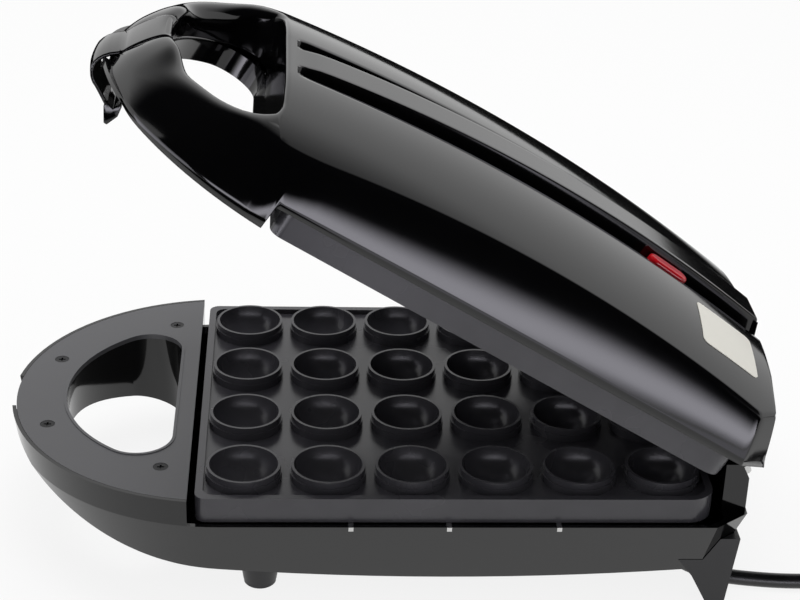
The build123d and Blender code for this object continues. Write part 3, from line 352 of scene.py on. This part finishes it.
studio_card(
    "front_card",
    place=(0.0, -1.3, 1.2),
    width=9.0,
    height=2.4,
    colour="#050505",
    strength=0.4,
    fades=[(0.0, 1.0), (2.4, 1.0)],
)
studio_card(
    "ceiling_card",
    place=(1.0, 1.05, 2.4),
    width=9.0,
    height=4.7,
    colour="#050505",
    strength=0.4,
    fades=[(0.0, 1.0), (2.2, 1.0), (4.4, 0.0)],
    flat=True,
)
studio_card(
    "rear_floor_card",
    place=(0.2, 1.75, 0.002),
    width=7.0,
    height=3.0,
    colour="#101010",
    strength=1.0,
    fades=[(0.0, 0.0), (0.25, 1.0), (1.65, 1.0)],
    flat=True,
)
studio_card(
    "front_strip",
    place=(0.2, -1.25, 0.24),
    width=3.0,
    height=0.48,
    colour="#f6f4ff",
    strength=6.0,
    fades=[(0.0, 0.3), (0.14, 1.0), (0.2, 1.0), (0.46, 0.0)],
)
studio_card(
    "left_floor_card",
    place=(-0.65, -0.65, 0.002),
    width=1.2,
    height=0.8,
    colour="#050505",
    strength=0.4,
    fades=[(0.0, 0.0), (0.1, 1.0), (0.7, 1.0), (0.8, 0.0)],
    flat=True,
)
studio_card(
    "front_floor_card",
    place=(0.45, -0.66, 0.002),
    width=1.0,
    height=0.62,
    colour="#f6f4ff",
    strength=1.6,
    fades=[(0.0, 0.0), (0.1, 1.0), (0.45, 1.0), (0.62, 0.0)],
    flat=True,
)
studio_card(
    "left_strip",
    place=(-1.6, -0.5, 0.4),
    width=1.6,
    height=0.8,
    turn_z=75,
    colour="#f6f4ff",
    strength=3.0,
    fades=[(0.0, 0.5), (0.15, 1.0), (0.3, 1.0), (0.75, 0.0)],
)

# Lid shell: one moulding of glossy black ABS. A round hollow ring goes round the finger hole and runs
# back into an arched body with creased shoulders, two grooves and a raised strip between them.
# It is laid out shut, in millimetres, and then turned open about the hinge.
arch_x, arch_z, arch_radius = 25.0, -798.5, 909.39
nose_x, nose_z, nose_radius = -122.23, 35.98, 62.0
wing_radius, level_half, corner_fall = 216.0, 23.0, 2.5
crown_low, crown_high = 55.0, 125.0
round_x, lip_half, lip_level, handle_bottom = -81.4, 98.5, 70.8, 59.9
skirt_lean, handle_lean = radians(21), radians(8)
cut_along, cut_across, cut_reach, cut_lip = 0.6, 0.8, 65.5, 164
rear_reach, rear_lip, bow_depth, bow_half, corner_round = 59.5, 161, 3, 86.5, 1.0
hole_x, hole_radius, hole_back, hole_corner = -85.5, 70.5, -103.4, 16.0
hole_lean, hole_flare, flare_start, wall_bottom = 0.2, 0.3, 70, 71.2
crease_round, crease_growth = 1.6, 11.4
rim_round, rim_growth, rim_side_growth = 2.2, 5.8, 8.0
ring_x, join_x = -128.0, -106.6


def ease(value):
    value = min(1.0, max(0.0, value))
    return value * value * (3 - 2 * value)


def rounded_edge(first, second, radius):
    if first < -radius or second < -radius:
        return max(first, second)
    return sqrt((first + radius) ** 2 + (second + radius) ** 2) - radius


# A function named for a gap tells how far a point lies outside a face of the lid, and is below nought
# inside it. The ring's crown drops towards its front corners.
def ring_drop(x, y):
    return corner_fall * ease((-120 - x) / 30) * ease((abs(y) - 22) / 25)


def top_gap(x, y, z):
    beyond = max(0.0, abs(y) - level_half)
    drop = wing_radius - sqrt(wing_radius**2 - min(beyond, 200) ** 2) + ring_drop(x, y)
    if (x - arch_x) * (nose_z - arch_z) - (z - arch_z) * (nose_x - arch_x) < 0:
        return sqrt((x - nose_x) ** 2 + (z - nose_z) ** 2) - nose_radius + drop
    return sqrt((x - arch_x) ** 2 + (z - arch_z) ** 2) - arch_radius + drop


def half_at(z):
    return lip_half - (z - lip_level) * tan(skirt_lean if z > lip_level else handle_lean)


def rear_bow(y):
    return bow_depth * (min(abs(y), bow_half) / bow_half) ** 2


def side_gap(x, y, z):
    half = half_at(z)
    side = sqrt(min(0.0, x - round_x) ** 2 + y * y) - half
    corner = cut_along * x + cut_across * abs(y) - cut_reach - half
    rear = x - rear_reach + rear_bow(y) - bow_depth - half
    return rounded_edge(rounded_edge(side, corner, corner_round), rear, corner_round) * cos(skirt_lean)


def hole_gap(x, y, z):
    above = max(0.0, z - flare_start)
    flare = hole_flare * above * (y / hole_radius) ** 2
    inside = hole_radius + flare - sqrt((x - hole_x) ** 2 + y * y)
    behind = hole_back - hole_lean * above - x
    return -rounded_edge(-inside, -behind, hole_corner)


# The crease below the crown and the rim of the hole are tight by the body and rounder towards the nose.
def lid_gap(x, y, z):
    crease = crease_round + crease_growth * ease((-100 - x) / 40)
    rim = rim_round + ease((-108 - x) / 28) * (rim_growth + rim_side_growth * ease((abs(y) - 22) / 25))
    outside = rounded_edge(top_gap(x, y, z), side_gap(x, y, z), crease)
    return rounded_edge(outside, hole_gap(x, y, z), rim)


def search(low, high, inside):
    for _ in range(22):
        middle = (low + high) / 2
        if inside(middle):
            low = middle
        else:
            high = middle
    return high


# Where a ray from inside the lid comes out through its skin.
ray_step, ray_limit = 1.5, 200


def shoot(start, towards):
    aim = (towards - start).normalized()
    reach = 0.0
    while lid_gap(*(start + aim * reach)) < 0 and reach < ray_limit:
        reach += ray_step
    return start + aim * search(reach - ray_step, reach, lambda r: lid_gap(*(start + aim * r)) < 0)


# The same line with its points spread anew, closer together where it bends.
def even_out(line, count, bend_weight):
    reach = [0.0]
    for k in range(1, len(line)):
        bend = 0.0
        if k < len(line) - 1:
            before, after = line[k] - line[k - 1], line[k + 1] - line[k]
            if before.length > 1e-5 and after.length > 1e-5:
                bend = before.angle(after)
        reach.append(reach[-1] + (line[k] - line[k - 1]).length + bend_weight * bend)
    places, at = [], 0
    for k in range(count):
        goal = reach[-1] * k / (count - 1)
        while at < len(line) - 2 and reach[at + 1] < goal:
            at += 1
        share = (goal - reach[at]) / max(1e-9, reach[at + 1] - reach[at])
        places.append(line[at].lerp(line[at + 1], min(1.0, max(0.0, share))))
    return places


def top_level(x, y):
    return search(crown_low, crown_high, lambda z: top_gap(x, y, z) < 0)


# The body's crown: a raised strip down the middle, a sunk groove on each side of it, and then the wings.
strip_half, groove_half, wing_start = 12.0, 23.0, 24.0
strip_x, strip_top, strip_radius, strip_run = 35.0, 115.2, 780.0, 14
groove_depth, groove_front, groove_corner, groove_run = 4.5, -104.6, 4.5, 1.1
strip_drop, strip_edge, groove_drop, groove_edge, drop_width, drop_run = 0.55, 11.2, 0.45, 23.8, 0.8, 5


def body_level(x, y):
    across = abs(y)
    if across >= wing_start:
        return top_level(x, y)
    flat, edge = top_level(x, 0), ease((x - groove_front) / drop_run)
    if across <= strip_half:
        strip = strip_top - strip_radius + sqrt(strip_radius**2 - (x - strip_x) ** 2)
        rise = max(0.0, strip - flat) * ease((x - groove_front + 1) / strip_run)
        return flat + rise - strip_drop * edge * ease((across - strip_edge) / drop_width)
    if across >= groove_half:
        return top_level(x, y) - groove_drop * edge * ease((groove_edge - across) / drop_width)
    inset = min(groove_corner, across - strip_half, groove_half - across)
    bend = groove_corner - sqrt(groove_corner**2 - (groove_corner - inset) ** 2)
    return flat - groove_depth * ease((x - groove_front - bend) / groove_run)


def edge_y(x):
    return search(60.0, 99.0, lambda y: side_gap(x, y, top_level(x, y)) < 0)


rear_x, corner_x, corner_lip_x, rear_lip_x, cut_x, handle_end = 149.3, 139.17, 142.0, 158.0, 110, -96.5


def rear_edge(y):
    x = rear_x
    for _ in range(4):
        x = rear_lip - rear_bow(y) - (body_level(x, y) - lip_level) * tan(skirt_lean)
    return x


# The lines of the crown by their distance from the middle, the wing's and the skirt's by their share of
# the way, and the stations along the body, all closer together where the shape turns.
strip_lines = [0, 3, 6, 9, 10.8, 11.4, 11.75, 12.0, 12.35, 13.2, 15.5, 17.5, 19.5, 21.8]
strip_lines += [22.65, 23.0, 23.4, 24.0]
wing_shares = [0.05, 0.11, 0.18, 0.26, 0.34, 0.42, 0.5, 0.58, 0.66, 0.74, 0.81, 0.87, 0.92, 0.96, 1.0]
edge_steps = [2.0, 1.4, 0.9, 0.5, 0.2, 0.0]
skirt_shares = [0.0, 0.008, 0.022, 0.042, 0.07, 0.12, 0.22, 0.36, 0.52, 0.7, 0.86, 1.0]
stations = [join_x, -106.0, -105.5, -105.1, -104.8, -104.5, -104.2, -103.8, -103.2, -102.4]
stations += [-101, -99.4, -98, -97.0, -96.2]
stations += [-94 + 6.4 * k for k in range(36)]
stations += [133, 136, 137.8, 138.7, corner_x, 139.7, 140.6, 142.4, 145, 147, 148.3, rear_x]
shoulder_width, shoulder_reach, morph_start, rounded_rows, skirt_bulge = 2.6, 3.5, 125, 6, 1.3
core_end, core_inset, core_z = 128.0, 24, 74.0


def core_point(x, edge, way):
    return Vector((min(x, core_end), (edge - core_inset) * way, core_z))


def station_line(x):
    edge = edge_y(x)
    span = edge - shoulder_width - wing_start
    half = list(strip_lines)
    half += [wing_start + share * span for share in wing_shares]
    half += [edge - step for step in edge_steps]
    morph = max(0.0, (x - morph_start) / (rear_x - morph_start))
    line = []
    for y in [-h for h in reversed(half)] + half[1:]:
        at = x + (rear_edge(y) - rear_x) * morph if morph > 0 else x
        place = Vector((at, y, body_level(at, y)))
        if abs(y) > edge - shoulder_reach:
            place = shoot(core_point(x, edge, 1 if y > 0 else -1), place)
        line.append(place)
    return line, edge


def skirt_line(x, edge, way):
    top = Vector((x, way * edge, top_level(x, edge)))
    if x < handle_end:
        drops = [top.z + (handle_bottom - top.z) * share for share in skirt_shares]
        sharp = [Vector((x, way * search(40.0, 104.0, lambda y: side_gap(x, y, z) < 0), z)) for z in drops]
    else:
        if x <= cut_x:
            lip_x = x
        elif x <= corner_x:
            lip_x = cut_x + (x - cut_x) * (corner_lip_x - cut_x) / (corner_x - cut_x)
        else:
            lip_x = corner_lip_x + (x - corner_x) * (rear_lip_x - corner_lip_x) / (rear_x - corner_x)
        lip_y = min(lip_half, (cut_lip - cut_along * lip_x) / cut_across)
        lip = Vector((lip_x, way * lip_y, lip_level))
        sharp = [top.lerp(lip, share) for share in skirt_shares]
    line = []
    for k, place in enumerate(sharp):
        if k < rounded_rows:
            place = shoot(core_point(x, edge, way), place)
        elif x < handle_end:
            place = shoot(Vector((x, place.y * 0.8, place.z)), place)
        share = skirt_shares[k]
        place.y += way * 4 * skirt_bulge * share * (1 - share) * ease((x - join_x) / 8)
        line.append(place)
    return line


def add_sheet(shape, lines):
    rows, columns = len(lines), len(lines[0])
    made = bmesh.ops.create_grid(shape, x_segments=columns - 1, y_segments=rows - 1, size=1)
    for vertex, place in zip(made["verts"], [p for line in lines for p in line]):
        vertex.co = place


shell = bmesh.new()
body_lines, side_lines = [], {1: [], -1: []}
for x in stations:
    line, edge = station_line(x)
    body_lines.append(line)
    for way in (1, -1):
        skirt = skirt_line(x, edge, way)
        skirt[0] = line[-1 if way > 0 else 0].copy()
        side_lines[way].append(skirt)
add_sheet(shell, body_lines)
add_sheet(shell, side_lines[1])
add_sheet(shell, side_lines[-1])
rear_lines = []
for place in body_lines[-1]:
    lip_y = place.y * (cut_lip - cut_along * rear_lip_x) / cut_across / abs(body_lines[-1][0].y)
    lip = Vector((rear_lip - rear_bow(lip_y), lip_y, lip_level))
    rear_lines.append([place.lerp(lip, share) for share in skirt_shares])
rear_lines[0], rear_lines[-1] = side_lines[-1][-1], side_lines[1][-1]
add_sheet(shell, rear_lines)

# The ring: each line starts low on the hole's wall, climbs it and goes over the top, to where the body
# begins or to the crease, from where a line of the skirt goes on down.
climb, nudge, least_slope = 1.5, 0.01, 0.05
crown_steps, ring_rows, ring_bend_weight, nose_count = 24, 34, 9.0, 72
tube_z, bar_shift, bar_z = 70.0, 11, 82.0
side_near, side_far = 20.0, 110.0


def wall_line(angle):
    aim = Vector((cos(angle), sin(angle), 0))
    start = Vector((ring_x, 0, wall_bottom))
    place = start + aim * search(5.0, 70.0, lambda r: hole_gap(*(start + aim * r)) > 0)
    wall = [place.copy()]
    while top_gap(place.x, place.y, place.z + climb) < 0:
        place.z += climb
        for _ in range(3):
            gap = hole_gap(*place)
            slope_x = (hole_gap(place.x + nudge, place.y, place.z) - gap) / nudge
            slope_y = (hole_gap(place.x, place.y + nudge, place.z) - gap) / nudge
            size = max(least_slope, slope_x**2 + slope_y**2)
            place.x -= gap * slope_x / size
            place.y -= gap * slope_y / size
        wall.append(place.copy())
    return wall


def crown_level(x, y):
    return max(top_level(x, y), handle_bottom + 2.5)


def ring_line(angle, end):
    guide = wall_line(angle)
    foot, crown = guide[0], guide[-1]
    for k in range(1, crown_steps + 1):
        plan = crown.lerp(end, k / crown_steps)
        guide.append(Vector((plan.x, plan.y, crown_level(plan.x, plan.y))))
    inward = ease((64 - abs(foot.y)) / 14) * ease((foot.x + 114) / 6)
    middle = (crown + end) / 2
    side = (foot + end) / 2
    centre = Vector((side.x, side.y, tube_z)).lerp(Vector((middle.x + bar_shift, middle.y, bar_z)), inward)
    line = even_out([shoot(centre, place) for place in guide], ring_rows, ring_bend_weight)
    return [line[0]] + [shoot(centre, place) for place in line[1:-1]] + [line[-1]]


def crease_point(angle):
    aim = Vector((cos(angle), sin(angle), 0))
    start = Vector((ring_x, 0, 0))

    def inside(r):
        x, y, _ = start + aim * r
        return side_gap(x, y, crown_level(x, y)) < 0

    place = start + aim * search(side_near, side_far, inside)
    return Vector((place.x, place.y, crown_level(place.x, place.y)))


def nose_skirt(angle, crease, foot, first):
    aim = Vector((cos(angle), sin(angle), 0))
    line = [first.copy()]
    for share in skirt_shares[1:]:
        z = crease.z + (handle_bottom - crease.z) * share
        level = Vector((ring_x, 0, z))
        place = level + aim * search(side_near, side_far, lambda r: side_gap(*(level + aim * r)) < 0)
        centre = (foot + crease) / 2
        centre.z = min(z + 5, tube_z)
        line.append(shoot(centre, place))
    return line


ring_lines = []
for end in body_lines[0]:
    line = ring_line(atan2(end.y, end.x - ring_x), end)
    line[-1] = end.copy()
    ring_lines.append(line)
add_sheet(shell, ring_lines)
edge_angle = atan2(body_lines[0][-1].y, body_lines[0][-1].x - ring_x)
nose_lines, nose_skirts = [ring_lines[-1]], [side_lines[1][0]]
for k in range(1, nose_count):
    angle = edge_angle + (2 * pi - 2 * edge_angle) * k / nose_count
    crease = crease_point(angle)
    line = ring_line(angle, crease)
    nose_lines.append(line)
    nose_skirts.append(nose_skirt(angle, crease, line[0], line[-1]))
nose_lines.append(ring_lines[0])
nose_skirts.append(side_lines[-1][0])
add_sheet(shell, nose_lines)
add_sheet(shell, nose_skirts)
bmesh.ops.remove_doubles(shell, verts=shell.verts, dist=0.04)
bmesh.ops.dissolve_degenerate(shell, edges=shell.edges, dist=0.02)
bmesh.ops.recalc_face_normals(shell, faces=shell.faces)

# The last unevenness of the ring, where its sheets meet, is smoothed away.
ring_end, smoothing_rounds = -109, 5
ring_skin = [corner for corner in shell.verts if corner.co.x < ring_end and not corner.is_boundary]
for _ in range(smoothing_rounds):
    bmesh.ops.smooth_vert(
        shell, verts=ring_skin, factor=0.5, use_axis_x=True, use_axis_y=True, use_axis_z=True
    )


def face_upwards(shape):
    roof = max(shape.faces, key=lambda face: face.calc_center_median().z)
    if roof.normal.z < 0:
        bmesh.ops.reverse_faces(shape, faces=shape.faces)


face_upwards(shell)

# The latch lies in a slot through the front of the ring.
slot_half, slot_back = 14.5, -150
for way in (1, -1):
    front = [face for face in shell.faces if face.calc_center_median().x < slot_back]
    parts = {part for face in front for part in (face, *face.edges, *face.verts)}
    bmesh.ops.bisect_plane(
        shell, geom=list(parts), dist=0.001, plane_co=(0, way * slot_half, 0), plane_no=(0, way, 0)
    )
slot_faces = [
    face
    for face in shell.faces
    if abs(face.calc_center_median().y) < slot_half and face.calc_center_median().x < slot_back
]
bmesh.ops.delete(shell, geom=slot_faces, context="FACES")

# The whole model stands middle_shift further along X than it is laid out, so that the origin is under
# the middle of its length.
middle_shift, hinge_x, hinge_z, open_angle = 4.28, 158.5, 61.5, radians(30.6)


def turn_open(shape):
    turned = Matrix.Rotation(open_angle, 4, "Y")
    pivot = Vector((hinge_x, 0, hinge_z))
    scale = Matrix.Scale(0.001, 4) @ Matrix.Translation((middle_shift, 0, 0))
    whole = scale @ Matrix.Translation(pivot) @ turned @ Matrix.Translation(-pivot)
    bmesh.ops.transform(shape, matrix=whole, verts=shape.verts)


def add_piece(name, shape, finish, sharp_angle):
    mesh = bpy.data.meshes.new(name)
    shape.to_mesh(mesh)
    shape.free()
    mesh.shade_smooth()
    mesh.set_sharp_from_angle(angle=radians(sharp_angle))
    mesh.materials.append(finish)
    piece = bpy.data.objects.new(name, mesh)
    bpy.context.scene.collection.objects.link(piece)
    return piece


def add_walls(piece, thickness_mm):
    walls = piece.modifiers.new("moulded_wall", "SOLIDIFY")
    walls.thickness = thickness_mm / 1000
    walls.offset = -1
    walls.use_even_offset = False


# ABS from a polished tool: deep black with sharp reflections that a trace of orange peel just bends.
gloss_abs = skin_finish(
    "gloss_abs", "#050506", "#070708", (0.07, 0.1), grain_mm=9, grain_depth_mm=0.006, patch_mm=60
)
lid_wall = 2.2
turn_open(shell)
lid_shell = add_piece("lid_shell", shell, gloss_abs, 30)
add_walls(lid_shell, lid_wall)
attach(lid_shell, "lid")
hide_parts("upper_housing")


# Hinge lugs: two ears of the same ABS, moulded with the lid shell at its rear wall. Each ends in a round
# knuckle that takes a hinge pin.
def add_slab(shape, outline, first_y, depth):
    corners = [shape.verts.new((x, first_y, z)) for x, z in outline]
    drawn = bmesh.ops.extrude_face_region(shape, geom=[shape.faces.new(corners)])
    far_corners = [part for part in drawn["geom"] if isinstance(part, bmesh.types.BMVert)]
    bmesh.ops.translate(shape, verts=far_corners, vec=(0, depth, 0))


def round_edges(shape, offset):
    bmesh.ops.recalc_face_normals(shape, faces=shape.faces)
    bmesh.ops.bevel(
        shape,
        geom=shape.edges[:],
        offset=offset,
        offset_type="OFFSET",
        segments=2,
        profile=0.5,
        affect="EDGES",
        material=-1,
    )


def add_bar(shape, x, y, z, radius, length, segments):
    bar = bmesh.ops.create_cone(
        shape, cap_ends=True, segments=segments, radius1=radius, radius2=radius, depth=length
    )
    stood = Matrix.Translation((x, y, z)) @ Matrix.Rotation(pi / 2, 4, "X")
    bmesh.ops.transform(shape, matrix=stood, verts=bar["verts"])


lug_radius, lug_middle, lug_width, lug_round = 5.0, 44.0, 12.0, 0.4
lug_outline = [(153.9, 61.5), (153.9, 74.6), (157.1, 74.6), (162.6, 64.5), (163.4, 61.5)]
lugs = bmesh.new()
for way in (1, -1):
    add_slab(lugs, lug_outline, way * lug_middle - lug_width / 2, lug_width)
    add_bar(lugs, hinge_x, way * lug_middle, hinge_z, lug_radius, lug_width, segments=48)
round_edges(lugs, lug_round)
turn_open(lugs)
lid_lugs = add_piece("lid_lugs", lugs, gloss_abs, 35)
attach(lid_lugs, "lid")
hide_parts("upper_housing")

# Latch: a strip of the same ABS that lies flush in the ring's slot, runs down in front of the handles and
# ends in a hook and a short tab. Its knuckle turns on a steel pin at the inner edge of the ring.
latch_wall, latch_half, pin_x, pin_z = 1.6, 14.0, -159.5, 82.255
knuckle_radius, knuckle_length, hook_round = 2.1, 27.6, 0.35
latch_core_x, latch_core_z, guide_reach = -168.5, 68.0, 30
guide_count, guide_start, guide_swing, guide_rows = 60, 38, 137, 30
strip_front = [
    (-175.4, 66.6),
    (-178.2, 64.4),
    (-180.3, 61.9),
    (-181.6, 59.5),
    (-182.3, 57.3),
    (-182.2, 55.3),
    (-181.9, 53.6),
    (-181.2, 52.1),
    (-180.3, 50.6),
    (-179.2, 49.4),
    (-177.9, 48.3),
    (-176.4, 47.5),
    (-174.3, 46.1),
    (-172.0, 44.5),
    (-167.9, 41.6),
]
latch_lines = []
for y in (-14.0, -13.2, -11.0, -7.0, -2.5, 2.5, 7.0, 11.0, 13.2, 14.0):
    centre = Vector((latch_core_x, y, latch_core_z))
    guide = []
    for k in range(guide_count):
        angle = radians(guide_start + guide_swing * k / (guide_count - 1))
        guide.append(shoot(centre, centre + guide_reach * Vector((cos(angle), 0, sin(angle)))))
    line = [shoot(centre, place) for place in even_out(guide, guide_rows, 6.0)]
    set_back = (y * y) / 200
    line += [Vector((x + set_back, y, z)) for x, z in strip_front]
    latch_lines.append(line)
clip = bmesh.new()
add_sheet(clip, latch_lines)
bmesh.ops.recalc_face_normals(clip, faces=clip.faces)
face_upwards(clip)
turn_open(clip)
latch_strip = add_piece("latch_strip", clip, gloss_abs, 40)
add_walls(latch_strip, latch_wall)
hook_outline = [
    (-167.9, 41.6),
    (-163.9, 34.3),
    (-162.3, 34.3),
    (-160.0, 40.1),
    (-160.6, 45.1),
    (-162.0, 45.1),
    (-163.6, 42.2),
    (-166.9, 43.3),
]
hook = bmesh.new()
add_slab(hook, hook_outline, -latch_half, 2 * latch_half)
round_edges(hook, hook_round)
add_bar(hook, pin_x, 0, pin_z, knuckle_radius, knuckle_length, segments=40)
turn_open(hook)
latch_hook = add_piece("latch_hook", hook, gloss_abs, 35)
for piece in (latch_strip, latch_hook):
    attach(piece, "latch")
    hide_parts("latch")

# Glossy housings and handle: the lower housing and the panel with a collar under the lid's ring are
# moulded in the same glossy ABS as the lid shell. The CAD lid and latch, which don't show, have it too.
dress(["lower_housing", "upper_housing", "latch", "upper_handle_cover"], gloss_abs)

# Lower handle cover: a flat D-shaped panel with a finger hole and a raised rim, moulded in black ABS and
# held by four screws in sunk seats. ABS from a finely textured tool gives wide highlights; its grey base
# colour is painted sheen on black plastic.
satin_abs_painted_sheen = skin_finish("satin_abs_painted_sheen", "#4e4e51", "#555558", (0.34, 0.42), grain_mm=0.6, grain_depth_mm=0.02)
dress(["lower_handle_cover"], satin_abs_painted_sheen)

# Cooking plates: cast aluminium trays, 24 cups below and 24 domes above. The sprayed and baked
# non-stick coat is dark grey with a low, even sheen and a fine pebbling.
non_stick_coat = skin_finish(
    "non_stick_coat", "#3a393e", "#444348", (0.2, 0.3), grain_mm=0.5, grain_depth_mm=0.012
)
dress(["lower_plate", "upper_plate"], non_stick_coat)

# Feet and legs: round front stubs on dark pads and flat tapered legs at the rear, all black. ABS from a
# lightly grained tool has a dull sheen, and the rubber of the pads looks much the same.
grained_abs = skin_finish("grained_abs", "#111113", "#18181a", (0.4, 0.5), grain_mm=0.8, grain_depth_mm=0.02)
dress(["front_feet", "rear_legs", "foot_pads"], grained_abs)

# Heat shields, thermostat, fuse and hinge pins: pressed pans behind the plates, the heater's controls
# below the lower one, and turned pins. The fine lines of rolling and turning blur the pale metal's gloss.
bright_sheet = skin_finish(
    "bright_sheet", "#b9b9b7", "#c8c8c6", (0.25, 0.4), grain_mm=2, grain_depth_mm=0.01, metallic=1.0
)
dress(["lower_heat_shield", "upper_heat_shield", "thermostat", "thermal_fuse", "hinge_pins"], bright_sheet)

# Screws, latch pin and heating elements: steel parts, the screws with a cross recess and the elements
# bent in a U behind the plates. Blackened steel is a dark metal with soft reflections.
black_steel = skin_finish(
    "black_steel", "#2a2a2b", "#39393a", (0.3, 0.45), grain_mm=1, grain_depth_mm=0.01, metallic=1.0
)
dress(["latch_pin", "lower_handle_screws", "upper_handle_screws"], black_steel)
dress(["lower_plate_screws", "upper_plate_screws"], black_steel)
dress(["lower_heating_element", "upper_heating_element"], black_steel)

# Lenses: an oval button of dyed clear plastic through each groove of the lid, held by a flange inside.
# With the lamp behind it out, each is deep in colour and has a sharp gloss.
red_lens = skin_finish("red_lens", "#a8101a", "#b8141e", (0.1, 0.14), grain_mm=4, grain_depth_mm=0.01)
dress(["power_lens"], red_lens)
green_lens = skin_finish("green_lens", "#1c5a30", "#226638", (0.1, 0.14), grain_mm=4, grain_depth_mm=0.01)
dress(["ready_lens"], green_lens)

# Label, lamps and terminal block: a blank sticker of film on the lid's near side and, inside, the small
# lamps and the block the lead is wired to. All three are off-white with a soft gloss.
pale_film = skin_finish("pale_film", "#dddbd2", "#e3e1d8", (0.3, 0.4), grain_mm=2, grain_depth_mm=0.005)
dress(["blank_label", "terminal_block", "indicator_lamps"], pale_film)
